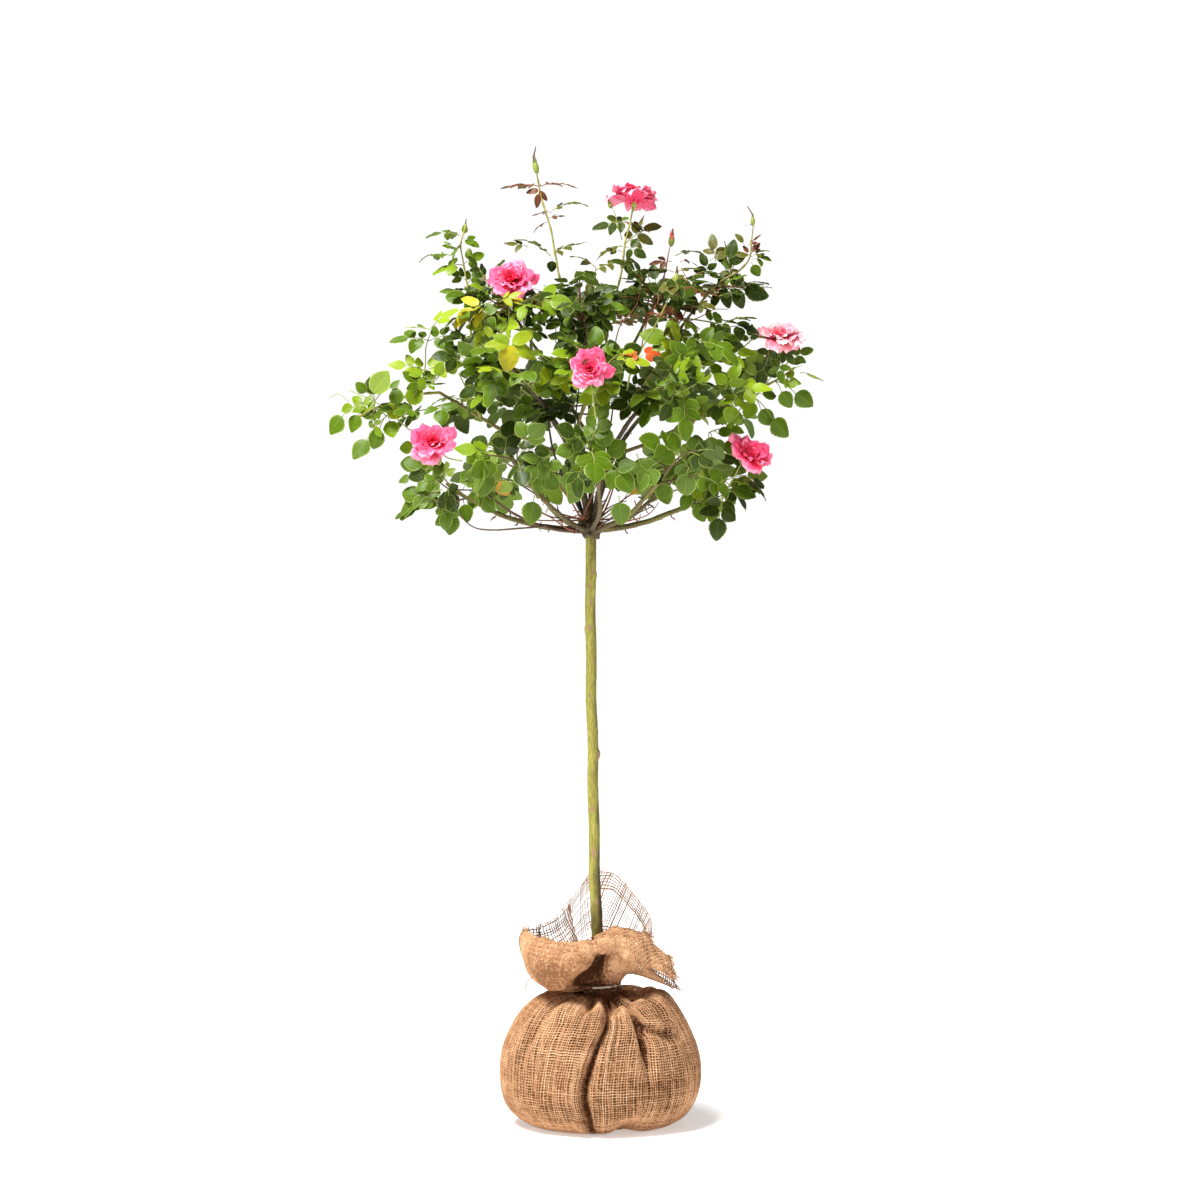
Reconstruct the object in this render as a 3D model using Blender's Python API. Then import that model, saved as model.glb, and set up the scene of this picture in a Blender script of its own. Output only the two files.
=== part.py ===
"""A half-standard rose on its sacking-wrapped root ball, as one closed solid for each sub-part.

Metres, +Z up, the front of the plant towards -Y, origin at the middle of the ball's flat underside.
The stem carries a knobbly graft union, boughs leave the union, and each bough ends where it enters
the mass of foliage that it carries. Shoots and side arms leave a mass and carry the next one.
"""

import math
from collections import namedtuple

import bmesh
import bpy
import numpy as np

SEAT_GAP = 0.0003  # clearance between pieces that touch
CUTTER_SWELL = 0.0006  # how far a mass or the union is swollen where it cuts a limb

# Root ball and sacking, turned about the Z axis.
FOOT_RADIUS = 0.106  # flat underside
BALL_RADIUS = 0.149
BALL_WAIST_HEIGHT = 0.068  # height of the widest point
LOWER_BULGE, UPPER_BULGE = 0.062, 0.086  # how far the flank draws in below and above the waist
FLANK_ANGLES, FLANK_RINGS = (-58, 74), 9
SHOULDER_RADIUS = 0.072
SHOULDER_HEIGHT = 0.1965
NECK_RADIUS = 0.0275  # gathered cloth under the tie
NECK_HOLE = 0.0135
NECK_HEIGHT = 0.2055  # height of the tie
SACKING_WALL = 0.0025
SOIL_TOP = 0.1858
SOIL_PLAY = 0.0009  # between the soil and the cloth
BALL_SIDES = 24
LOBES = ((3, 0.016, 0.6), (5, 0.012, 2.1), (8, 0.007, 0.2))  # waves round the ball, share, phase

TIE_THICKNESS = 0.003
TIE_SIDES = 5

# Collar of sacking above the tie: distance from the axis and height of its rim, each 30 degrees
# round from +X through +Y, how far the cloth arches above the straight line to that rim, and how
# much it runs out first and up later, like the side of a bowl.
COLLAR_RIM_RADIUS = (0.110, 0.092, 0.076, 0.058, 0.060, 0.084, 0.112, 0.116, 0.086, 0.068, 0.064, 0.086)
COLLAR_RIM_HEIGHT = (0.220, 0.270, 0.344, 0.3680, 0.334, 0.300, 0.288, 0.280, 0.281, 0.279, 0.290, 0.258)
COLLAR_ARCH = (0.042, 0.020, 0.0, 0.0, 0.0, 0.0, 0.0, 0.0, 0.0, 0.0, 0.004, 0.024)
COLLAR_BOWL = (0.2, 0.2, 0.0, 0.0, 0.2, 0.8, 1.0, 1.0, 0.8, 0.5, 0.3, 0.2)
COLLAR_WALL = 0.003
COLLAR_STEPS = (0.0, 0.22, 0.48, 0.75, 1.0)  # where its rings lie between the neck and the rim

# Stem: x of its middle line and diameter at each height, from the flat cut on the soil to the union.
STEM_FOOT = SOIL_TOP + SEAT_GAP
STEM_LEAN = (
    (STEM_FOOT, 0.0000),
    (0.291, -0.0045),
    (0.381, -0.0083),
    (0.579, -0.0113),
    (0.633, -0.0128),
    (0.783, -0.0144),
    (0.873, -0.0135),
)
STEM_DIAMETER = (
    (STEM_FOOT, 0.0236),
    (0.205, 0.0200),
    (0.235, 0.0182),
    (0.300, 0.0172),
    (0.600, 0.0163),
    (0.873, 0.0158),
)
STEM_SIDES = 12
STEM_RINGS = 17
KNOTS = (  # height, direction round the stem in degrees from +X, how far it stands out
    (0.552, -10, 0.0030),
    (0.468, -120, 0.0015),
    (0.738, 190, 0.0014),
    (0.820, 5, 0.0012),
    (0.405, -100, 0.0010),
)
KNOT_LENGTH = 0.010

Lump = namedtuple("Lump", "middle half seed")

UNION_NODE = "graft_union"
UNION = Lump((-0.0140, 0.0, 0.8925), (0.0190, 0.0180, 0.0215), 3)
UNION_KNOLL_DEPTH = 0.16

# Masses of foliage: middle, half width, half depth and half height, seed of the knolls. Each one's
# node is called foliage_ and this name.
MASSES = {
    "low_left": Lump((-0.228, -0.040, 0.957), (0.078, 0.085, 0.062), 11),
    "low_front_left": Lump((-0.128, -0.165, 0.990), (0.085, 0.080, 0.055), 12),
    "low_front": Lump((-0.005, -0.205, 0.992), (0.075, 0.070, 0.055), 13),
    "low_front_right": Lump((0.108, -0.165, 0.985), (0.080, 0.080, 0.058), 14),
    "low_right": Lump((0.183, -0.020, 0.960), (0.075, 0.090, 0.058), 15),
    "low_back_right": Lump((0.115, 0.165, 0.985), (0.090, 0.080, 0.055), 16),
    "low_back_left": Lump((-0.115, 0.170, 0.985), (0.100, 0.080, 0.055), 17),
    "mid_left": Lump((-0.240, 0.000, 1.094), (0.086, 0.090, 0.070), 21),
    "mid_front_left": Lump((-0.128, -0.140, 1.120), (0.080, 0.080, 0.065), 22),
    "mid_front": Lump((-0.005, -0.175, 1.120), (0.070, 0.070, 0.062), 23),
    "mid_front_right": Lump((0.108, -0.140, 1.105), (0.075, 0.080, 0.065), 24),
    "mid_right": Lump((0.207, 0.000, 1.090), (0.065, 0.090, 0.055), 25),
    "mid_back_right": Lump((0.120, 0.150, 1.110), (0.090, 0.085, 0.065), 26),
    "mid_back_left": Lump((-0.120, 0.155, 1.110), (0.095, 0.085, 0.065), 27),
    "high_left": Lump((-0.146, -0.020, 1.232), (0.074, 0.078, 0.064), 31),
    "high_front": Lump((-0.030, -0.080, 1.215), (0.065, 0.070, 0.047), 32),
    "high_front_right": Lump((0.085, -0.030, 1.232), (0.060, 0.070, 0.062), 33),
    "high_back": Lump((0.000, 0.110, 1.220), (0.100, 0.075, 0.055), 34),
    "high_right": Lump((0.213, 0.000, 1.256), (0.064, 0.050, 0.036), 35),
    "top": Lump((0.057, 0.000, 1.354), (0.044, 0.044, 0.062), 41),
    "tall_shoot": Lump((-0.087, -0.040, 1.379), (0.050, 0.036, 0.082), 42),
    "left_shoot": Lump((-0.214, -0.010, 1.300), (0.042, 0.036, 0.052), 43),
    "right_shoot": Lump((0.228, 0.000, 1.333), (0.030, 0.030, 0.040), 44),
    "left_arm": Lump((-0.362, -0.020, 1.055), (0.053, 0.046, 0.056), 45),
    "right_arm": Lump((0.291, -0.020, 1.130), (0.037, 0.046, 0.075), 46),
}
MASS_SEGMENTS, MASS_RINGS = 12, 8
MASS_GAP = 0.006  # sky between two masses that press on each other
KNOLLS = 9
KNOLL_SHARPNESS = 5.0
MASS_KNOLL_DEPTH = 0.36

# Limbs: what it leaves and how far along that, the mass that it enters, diameters at both ends, and
# how far its middle is pushed off the straight line, as (x, y, z). A limb that leaves the union
# starts at LOW or STEEP above the union's middle instead, on the side that it heads for.
LOW, STEEP = -0.004, 0.007
UNION_SPREAD = 0.040  # start's distance from the union's axis, for each metre that the bough spreads
Limb = namedtuple("Limb", "parent along mass thick thin bow")
LIMBS = {
    "bough_low_left": Limb(UNION_NODE, LOW, "low_left", 0.0092, 0.0056, (-0.01, -0.01, -0.018)),
    "bough_low_front_left": Limb(UNION_NODE, LOW, "low_front_left", 0.0080, 0.0050, (0, 0, -0.020)),
    "bough_low_front": Limb(UNION_NODE, LOW, "low_front", 0.0074, 0.0048, (0.008, 0, -0.018)),
    "bough_low_front_right": Limb(UNION_NODE, LOW, "low_front_right", 0.0080, 0.0050, (0, 0, -0.020)),
    "bough_low_right": Limb(UNION_NODE, LOW, "low_right", 0.0092, 0.0056, (0.01, 0.01, -0.014)),
    "bough_low_back_right": Limb(UNION_NODE, LOW, "low_back_right", 0.0080, 0.0050, (0, 0, -0.022)),
    "bough_low_back_left": Limb(UNION_NODE, LOW, "low_back_left", 0.0080, 0.0050, (0, 0, -0.022)),
    "bough_front_left": Limb(UNION_NODE, STEEP, "mid_front_left", 0.0092, 0.0052, (0.018, 0.022, 0.016)),
    "bough_front_right": Limb(UNION_NODE, STEEP, "mid_front_right", 0.0088, 0.0050, (-0.022, 0.020, 0.018)),
    "bough_back_right": Limb(UNION_NODE, STEEP, "mid_back_right", 0.0086, 0.0050, (-0.022, -0.024, 0.018)),
    "bough_back_left": Limb(UNION_NODE, STEEP, "mid_back_left", 0.0086, 0.0050, (0.020, -0.026, 0.018)),
    "bough_leader": Limb(UNION_NODE, STEEP, "high_front", 0.0084, 0.0044, (0.009, 0.025, 0.0)),
    "bough_mid_left": Limb("bough_back_left", 0.40, "mid_left", 0.0062, 0.0044, (0.0, 0.004, -0.010)),
    "bough_mid_front": Limb("bough_front_left", 0.38, "mid_front", 0.0060, 0.0042, (0.0, 0.006, 0.006)),
    "bough_mid_right": Limb("bough_back_right", 0.40, "mid_right", 0.0060, 0.0042, (0.0, 0.0, -0.006)),
    "bough_high_left": Limb("bough_leader", 0.38, "high_left", 0.0060, 0.0040, (0.006, 0.0, -0.004)),
    "bough_high_right": Limb("bough_leader", 0.50, "high_front_right", 0.0060, 0.0040, (0, 0.004, -0.006)),
    "bough_high_back": Limb("bough_leader", 0.56, "high_back", 0.0056, 0.0040, (0, 0.008, -0.010)),
    "shoot_top": Limb("high_front_right", 0, "top", 0.0040, 0.0032, (-0.010, 0.0, 0.0)),
    "shoot_tall": Limb("high_front", 0, "tall_shoot", 0.0044, 0.0034, (-0.006, 0.0, 0.0)),
    "shoot_left": Limb("high_left", 0, "left_shoot", 0.0038, 0.0030, (-0.006, 0.0, 0.004)),
    "shoot_arching": Limb("mid_front_right", 0, "high_right", 0.0052, 0.0038, (0.0, 0.0, 0.020)),
    "shoot_right": Limb("high_right", 0, "right_shoot", 0.0036, 0.0030, (0.004, 0.0, 0.0)),
    "arm_left": Limb("mid_left", 0, "left_arm", 0.0040, 0.0030, (0.0, 0.0, 0.010)),
    "arm_right": Limb("mid_right", 0, "right_arm", 0.0040, 0.0030, (0.0, 0.0, -0.006)),
}
LIMB_SIDES = 7
LIMB_RINGS = 7

BARK_GREEN = (0.22, 0.20, 0.07)
BARK_BROWN = (0.10, 0.07, 0.035)
LEAF_GREEN = (0.07, 0.13, 0.03)
YOUNG_GREEN = (0.14, 0.17, 0.06)
JUTE = (0.42, 0.25, 0.13)
SOIL = (0.06, 0.035, 0.02)
TWINE = (0.55, 0.52, 0.47)


def clear_scene():
    for thing in list(bpy.data.objects):
        bpy.data.objects.remove(thing, do_unlink=True)


def paint(name, colour, roughness):
    """A matt surface of one colour, for one sub-part."""
    material = bpy.data.materials.new(name)
    material.use_nodes = True
    shader = material.node_tree.nodes["Principled BSDF"]
    shader.inputs["Base Color"].default_value = (*colour, 1.0)
    shader.inputs["Roughness"].default_value = roughness
    shader.inputs["Metallic"].default_value = 0.0
    return material


def add_solid(name, vertices, faces, colour, roughness=0.8):
    """A new object from its points and faces, shaded smooth but for its sharp edges."""
    mesh = bpy.data.meshes.new(name)
    mesh.from_pydata([tuple(map(float, point)) for point in vertices], [], faces)
    mesh.update()
    mesh.shade_smooth()
    mesh.set_sharp_from_angle(angle=math.radians(50))
    thing = bpy.data.objects.new(name, mesh)
    bpy.context.scene.collection.objects.link(thing)
    mesh.materials.append(paint(name, colour, roughness))
    return thing


def add_cutter(name, vertices, faces):
    """A helper that only cuts: it never renders and shows as wire."""
    cutter = add_solid(name, vertices, faces, TWINE)
    cutter.hide_render = True
    cutter.display_type = "WIRE"
    return cutter


def cut(thing, cutter):
    modifier = thing.modifiers.new("Cut by " + cutter.name, "BOOLEAN")
    modifier.operation = "DIFFERENCE"
    modifier.solver = "EXACT"
    modifier.object = cutter


def read_off(table, value):
    """A value between the rows of a (place, value) table."""
    places, values = zip(*table)
    return np.interp(value, places, values)


def ring_faces(rings, sides):
    """Quads between rings of points that lie one after the other, each ring the same way round."""
    faces = []
    for ring in range(rings - 1):
        for side in range(sides):
            here, there = ring * sides + side, ring * sides + (side + 1) % sides
            faces.append((here, there, there + sides, here + sides))
    return faces


def round_solid(rings):
    """Vertices and faces of a closed solid from rings of points, with a flat cap at each end."""
    count, sides = len(rings), len(rings[0])
    faces = ring_faces(count, sides)
    faces.append(tuple(range(sides))[::-1])
    faces.append(tuple(range((count - 1) * sides, count * sides)))
    return np.concatenate(rings), faces


def tube(path, radii, sides):
    """A limb: rings of points square to the path, carried along it without twist."""
    along = np.gradient(path, axis=0)
    along /= np.linalg.norm(along, axis=1)[:, None]
    across = np.cross(along[0], (0.0, 1.0, 0.2))
    turns = np.arange(sides) * 2 * math.pi / sides
    rings = []
    for point, forward, radius in zip(path, along, radii):
        across = across - forward * (across @ forward)
        across /= np.linalg.norm(across)
        up = np.cross(forward, across)
        circle = np.cos(turns)[:, None] * across + np.sin(turns)[:, None] * up
        rings.append(point + circle * np.reshape(radius, (-1, 1)))
    return round_solid(rings)


# ---- Root ball, sacking and tie ----


def lobes(turns):
    """Share by which the wrapped ball swells or draws in round its girth."""
    return sum(share * np.cos(waves * turns + phase) for waves, share, phase in LOBES)


def ball_profile():
    """Radius, height and lobe strength of the sacking from the edge of its underside to its neck."""
    rows = [(FOOT_RADIUS, 0.0, 0.0)]
    for angle in np.radians(np.linspace(*FLANK_ANGLES, FLANK_RINGS)):
        below = angle < 0
        reach = BALL_WAIST_HEIGHT if below else SHOULDER_HEIGHT - BALL_WAIST_HEIGHT
        spread = BALL_RADIUS - (LOWER_BULGE if below else UPPER_BULGE) * (1 - math.cos(angle))
        rows.append((spread, BALL_WAIST_HEIGHT + reach * math.sin(angle), 1.0))
    rows.append((SHOULDER_RADIUS, SHOULDER_HEIGHT, 0.8))
    rows.append((0.5 * (SHOULDER_RADIUS + NECK_RADIUS), SHOULDER_HEIGHT + 0.001, 0.5))
    rows.append((NECK_RADIUS, SHOULDER_HEIGHT - 0.002, 0.0))
    rows.append((NECK_RADIUS, NECK_HEIGHT, 0.0))
    return np.array(rows)


def inset(profile, depth):
    """The same profile moved inwards by depth, square to itself."""
    run = np.gradient(profile[:, :2], axis=0)
    run /= np.linalg.norm(run, axis=1)[:, None]
    moved = profile.copy()
    moved[:, 0] -= depth * run[:, 1]
    moved[:, 1] += depth * run[:, 0]
    moved[:, 1] = np.maximum(moved[:, 1], depth)
    return moved


def turned(profile):
    """One ring of points for each row of the profile, lobed round the Z axis."""
    turns = np.arange(BALL_SIDES) * 2 * math.pi / BALL_SIDES
    rings = []
    for radius, height, strength in profile:
        spread = radius * (1 + strength * lobes(turns))
        level = np.full(BALL_SIDES, height)
        rings.append(np.column_stack((spread * np.cos(turns), spread * np.sin(turns), level)))
    return rings


def build_root_ball():
    """Firm soil that fills the sacking up to the flat spot that the stem stands on."""
    profile = inset(ball_profile()[:-2], SACKING_WALL + SOIL_PLAY)
    rim = (NECK_HOLE + 0.004, SOIL_TOP, 0.0)
    rings = turned([*profile, rim])
    add_solid("root_ball", *round_solid(rings), SOIL, 0.95)


def build_sacking_wrap():
    """Cloth round the ball, flat below, gathered into a thick neck that leaves a hole for the stem."""
    outer = ball_profile()
    inner = inset(outer[:-2], SACKING_WALL)
    neck = [
        (NECK_HOLE + 0.004 + SEAT_GAP, SOIL_TOP + SOIL_PLAY, 0.0),
        (NECK_HOLE, SOIL_TOP + 0.002, 0.0),
        (NECK_HOLE, NECK_HEIGHT, 0.0),
    ]
    profile = [*outer, *neck[::-1], *inner[::-1]]
    add_solid("sacking_wrap", *round_solid(turned(profile)), JUTE, 0.95)


def collar_rim(table):
    """Values round the rim, one for each side, by a smooth wave through the twelve that are given."""
    spectrum = np.fft.rfft(table)
    finer = np.zeros(BALL_SIDES // 2 + 1, dtype=complex)
    finer[: len(spectrum)] = spectrum
    return np.fft.irfft(finer, BALL_SIDES) * BALL_SIDES / len(table)


def build_sacking_collar():
    """Loose cloth above the tie: it spreads from the neck to an uneven rim, tall behind the stem."""
    turns = np.arange(BALL_SIDES) * 2 * math.pi / BALL_SIDES
    around = np.column_stack((np.cos(turns), np.sin(turns), np.zeros(BALL_SIDES)))
    tables = COLLAR_RIM_RADIUS, COLLAR_RIM_HEIGHT, COLLAR_ARCH, COLLAR_BOWL
    radius, height, arch, bowl = map(collar_rim, tables)
    foot = NECK_HEIGHT + SEAT_GAP
    clear = TIE_THICKNESS / 2 + SEAT_GAP
    outer, inner = [], []
    for place in (-1.0, *COLLAR_STEPS):
        step = max(0.0, place)
        spread = NECK_RADIUS + (radius - NECK_RADIUS) * step ** (0.9 - 0.4 * bowl)
        level = foot + (height - foot - clear) * step ** (1.1 + 1.3 * bowl) + arch * math.sin(math.pi * step)
        level += clear if place >= 0 else 0.0
        wall = COLLAR_WALL + (NECK_RADIUS - NECK_HOLE - COLLAR_WALL) * max(0.0, 1 - step / 0.5)
        lift = np.array((0.0, 0.0, 1.0)) * np.reshape(level, (-1, 1))
        outer.append(around * np.reshape(spread, (-1, 1)) + lift)
        inner.append(around * np.reshape(spread - wall, (-1, 1)) + lift)
    vertices = np.concatenate([*outer, *inner[::-1]])
    faces = ring_faces(2 * len(outer), BALL_SIDES)
    last = (2 * len(outer) - 1) * BALL_SIDES
    for side in range(BALL_SIDES):
        after = (side + 1) % BALL_SIDES
        faces.append((last + side, last + after, after, side))
    add_solid("sacking_collar", vertices, faces, JUTE, 0.95)


def build_neck_tie():
    """Twine drawn round the neck, where the wrap and the collar meet."""
    middle = NECK_RADIUS + SEAT_GAP + TIE_THICKNESS / 2
    turns = np.arange(TIE_SIDES) * 2 * math.pi / TIE_SIDES
    section = [(middle + TIE_THICKNESS / 2 * math.cos(t), TIE_THICKNESS / 2 * math.sin(t)) for t in turns]
    around = np.arange(BALL_SIDES) * 2 * math.pi / BALL_SIDES
    vertices = [
        (radius * math.cos(turn), radius * math.sin(turn), NECK_HEIGHT + SEAT_GAP / 2 + rise)
        for turn in around
        for radius, rise in section
    ]
    faces = []
    for step in range(BALL_SIDES):
        after = (step + 1) % BALL_SIDES
        for side in range(TIE_SIDES):
            beside = (side + 1) % TIE_SIDES
            corners = (step, side), (after, side), (after, beside), (step, beside)
            faces.append(tuple(ring * TIE_SIDES + corner for ring, corner in corners))
    add_solid("neck_tie", vertices, faces, TWINE, 0.7)


# ---- Stem, union, limbs and masses ----


def knot_swelling(height, turns):
    """How far old pruning knots stand out from the stem at this height, round its girth."""
    total = np.zeros(len(turns))
    for knot_height, degrees, proud in KNOTS:
        near = math.exp(-(((height - knot_height) / KNOT_LENGTH) ** 2))
        facing = np.clip(np.cos(turns - math.radians(degrees)), 0, None) ** 3
        total += proud * near * facing
    return total


def stem_heights():
    """Even steps up the stem, with one ring more above, at and below the largest knots."""
    even = np.linspace(STEM_FOOT, UNION.middle[2], STEM_RINGS)
    extra = [0.205, 0.235]
    for knot_height, _, _ in KNOTS[:2]:
        extra += [knot_height - KNOT_LENGTH, knot_height, knot_height + KNOT_LENGTH]
    return np.unique(np.round(np.concatenate((even, extra)), 4))


def build_stem(union_cutter):
    """The single stem, flared at its foot, from the flat cut on the soil up to the union."""
    turns = np.arange(STEM_SIDES) * 2 * math.pi / STEM_SIDES
    rings = []
    for height in [STEM_FOOT, *stem_heights()[1:]]:
        radius = read_off(STEM_DIAMETER, height) / 2 + knot_swelling(height, turns)
        x = read_off(STEM_LEAN, height) + radius * np.cos(turns)
        rings.append(np.column_stack((x, radius * np.sin(turns), np.full(STEM_SIDES, height))))
    stem = add_solid("stem", *round_solid(rings), BARK_GREEN, 0.6)
    cut(stem, union_cutter)


def sphere_grid():
    """Unit directions and faces of a ball of segments and rings."""
    grid = bmesh.new()
    bmesh.ops.create_uvsphere(grid, u_segments=MASS_SEGMENTS, v_segments=MASS_RINGS, radius=1.0)
    grid.verts.index_update()
    directions = np.array([vertex.co[:] for vertex in grid.verts])
    faces = [tuple(vertex.index for vertex in face.verts) for face in grid.faces]
    grid.free()
    return directions / np.linalg.norm(directions, axis=1)[:, None], faces


def lumpy(lump, directions, depth):
    """Skin of an uneven ball about its middle: rounded knolls at seeded places on an ellipsoid.

    Each direction's radius falls by up to `depth` with the distance from the nearest knoll, and the
    result is stretched so that it just fills the lump's half sizes.
    """
    random = np.random.default_rng(lump.seed)
    tops = random.normal(size=(KNOLLS, 3))
    tops /= np.linalg.norm(tops, axis=1)[:, None]
    nearness = np.exp(KNOLL_SHARPNESS * (directions @ tops.T - 1)).max(axis=1)
    skin = directions * (1 - depth + depth * nearness)[:, None]
    low, high = skin.min(axis=0), skin.max(axis=0)
    return ((skin - low) / (high - low) * 2 - 1) * lump.half


def held_apart(skins):
    """Each mass's skin, held back at the plane between it and every neighbour that it presses on."""
    apart = {}
    for name, skin in skins.items():
        held = skin.copy()
        for other, other_skin in skins.items():
            if other == name:
                continue
            toward = np.subtract(MASSES[other].middle, MASSES[name].middle)
            span = np.linalg.norm(toward)
            toward /= span
            reach, other_reach = (skin @ toward).max(), (other_skin @ -toward).max()
            if reach + other_reach + MASS_GAP <= span:
                continue
            limit = (span - MASS_GAP) * reach / (reach + other_reach)
            depth = held @ toward
            past = depth > limit
            held[past] *= (limit / depth[past])[:, None]
        apart[name] = held
    return apart


def swollen(skin):
    """The skin moved out from its middle, for a cutter that leaves a seat."""
    return skin * (1 + CUTTER_SWELL / np.linalg.norm(skin, axis=1))[:, None]


def limb_path(start, end, bow):
    """A curve from start to end whose middle is pushed off the straight line by bow."""
    share = np.linspace(0.0, 1.0, LIMB_RINGS)[:, None]
    start, end = np.array(start, float), np.array(end, float)
    return start + (end - start) * share + np.array(bow, float) * 4 * share * (1 - share)


def limb_start(limb, paths):
    """A point inside what the limb leaves: the union, an earlier limb or a mass."""
    if limb.parent in paths:
        place = limb.along * (LIMB_RINGS - 1)
        return [np.interp(place, range(LIMB_RINGS), axis) for axis in paths[limb.parent].T]
    if limb.parent in MASSES:
        return MASSES[limb.parent].middle
    heading = np.subtract(MASSES[limb.mass].middle, UNION.middle)
    return np.add(UNION.middle, (*heading[:2] * UNION_SPREAD, limb.along))


def build_limb(name, limb, paths, cutters):
    """One tapering limb from inside its parent to its mass, cut off where it enters each."""
    path = limb_path(limb_start(limb, paths), MASSES[limb.mass].middle, limb.bow)
    radii = np.linspace(limb.thick, limb.thin, LIMB_RINGS) / 2
    paths[name] = path
    thing = add_solid(name, *tube(path, radii, LIMB_SIDES), BARK_BROWN, 0.7)
    cut(thing, cutters[limb.parent])
    cut(thing, cutters[limb.mass])
    if any(other.parent == name for other in LIMBS.values()):
        wider = tube(path, radii + SEAT_GAP, LIMB_SIDES)
        cutters[name] = add_cutter(name + "_cutter", *wider)


def build_plant():
    directions, faces = sphere_grid()
    cutters, paths = {}, {}
    union_skin = lumpy(UNION, directions, UNION_KNOLL_DEPTH)
    add_solid(UNION_NODE, union_skin + UNION.middle, faces, BARK_BROWN, 0.8)
    cutters[UNION_NODE] = add_cutter("union_cutter", swollen(union_skin) + UNION.middle, faces)
    build_stem(cutters[UNION_NODE])

    skins = held_apart({name: lumpy(mass, directions, MASS_KNOLL_DEPTH) for name, mass in MASSES.items()})
    for name, skin in skins.items():
        young = MASSES[name].half[0] < 0.06
        middle = MASSES[name].middle
        add_solid("foliage_" + name, skin + middle, faces, YOUNG_GREEN if young else LEAF_GREEN)
        cutters[name] = add_cutter(name + "_cutter", swollen(skin) + middle, faces)

    for name, limb in LIMBS.items():
        build_limb(name, limb, paths, cutters)


clear_scene()
build_root_ball()
build_sacking_wrap()
build_sacking_collar()
build_neck_tie()
build_plant()
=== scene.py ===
"""Looks of a standard rose tree in flower, its root ball wrapped in sacking and tied at the neck."""

import math

import bpy
import mathutils
import numpy as np
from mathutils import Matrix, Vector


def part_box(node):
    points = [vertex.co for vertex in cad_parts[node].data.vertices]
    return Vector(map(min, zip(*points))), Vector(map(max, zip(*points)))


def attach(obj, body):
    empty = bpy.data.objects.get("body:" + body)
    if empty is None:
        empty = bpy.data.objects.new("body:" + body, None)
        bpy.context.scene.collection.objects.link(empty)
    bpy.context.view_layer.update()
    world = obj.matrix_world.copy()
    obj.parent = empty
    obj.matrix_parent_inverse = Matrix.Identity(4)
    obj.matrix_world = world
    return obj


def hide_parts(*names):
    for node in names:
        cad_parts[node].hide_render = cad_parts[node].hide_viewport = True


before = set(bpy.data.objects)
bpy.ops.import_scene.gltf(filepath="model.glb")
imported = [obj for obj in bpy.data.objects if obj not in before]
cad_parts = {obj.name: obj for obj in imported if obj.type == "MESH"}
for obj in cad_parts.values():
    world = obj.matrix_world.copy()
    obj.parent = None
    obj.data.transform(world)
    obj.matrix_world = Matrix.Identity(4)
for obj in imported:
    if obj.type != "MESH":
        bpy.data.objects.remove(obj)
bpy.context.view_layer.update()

BODY = "root"
GOLDEN = math.pi * (3 - math.sqrt(5))
UP = np.array((0.0, 0.0, 1.0))


# ---- Tints ----


def tint(red, green, blue):
    """Linear colour of a tint given in display steps from 0 to 255."""
    share = np.array((red, green, blue)) / 255
    return np.where(share <= 0.04045, share / 12.92, ((share + 0.055) / 1.055) ** 2.4)


def mixed(first, second, share):
    """first + (second - first)·share"""
    return np.array(first) * (1 - share) + np.array(second) * share


LEAF_TINTS = {
    "deep": tint(44, 61, 6),
    "mid": tint(76, 102, 10),
    "fresh": tint(108, 134, 14),
    "light": tint(134, 157, 26),
    "low": tint(82, 106, 28),
    "pale": tint(116, 136, 50),
    "lime": tint(134, 150, 20),
    "yellow": tint(166, 156, 24),
    "olive": tint(80, 78, 22),
    "bronze": tint(98, 48, 32),
    "scarlet": tint(178, 66, 24),
    "dead": tint(178, 132, 54),
}
PALE_EDGE = tint(196, 208, 104)
GREY_UNDER = tint(122, 140, 70)
LEAF_SIDES = ("blade", "margin", "rib", "under")
EDGE_PALENESS, RIB_PALENESS, UNDER_GREYNESS = 0.22, 0.09, 0.26
UNDER_ROUGHNESS, UPPER_ROUGHNESS = 0.62, 0.42
# four steps from deep to palest; the deep steps partly stand for painted shade in the heart of a bloom
PETAL_TINTS = {
    "rose": (tint(204, 20, 60), tint(232, 46, 88), tint(244, 82, 122), tint(252, 138, 166)),
    "salmon": (tint(222, 78, 98), tint(238, 112, 132), tint(246, 150, 164), tint(252, 198, 202)),
    "blush": (tint(224, 36, 76), tint(240, 70, 112), tint(249, 106, 142), tint(253, 156, 182)),
}
TWIG_TINTS = {
    "green": tint(138, 148, 70),
    "brown": tint(84, 64, 44),
    "red": tint(134, 74, 50),
    "dark": tint(46, 40, 30),
}
JUTE_TINTS = (
    tint(216, 174, 134), tint(203, 158, 118), tint(188, 142, 104), tint(168, 122, 86), tint(142, 100, 69),
    # the last, darkest tint is painted shade, for deep creases, the pocket, near the tie and the collar's
    # left lobe
    tint(92, 55, 31),
)
SAP_GREEN = tint(160, 172, 74)
SEPAL_GREEN = tint(134, 142, 56)
TWINE_GREY = tint(206, 196, 182)


# ---- Shader groups and materials ----


def new_node(tree, kind, **values):
    """A shader node of this kind, with the given inputs set to plain values."""
    node = tree.nodes.new("ShaderNode" + kind)
    for name, value in values.items():
        node.inputs[name].default_value = value
    return node


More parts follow.
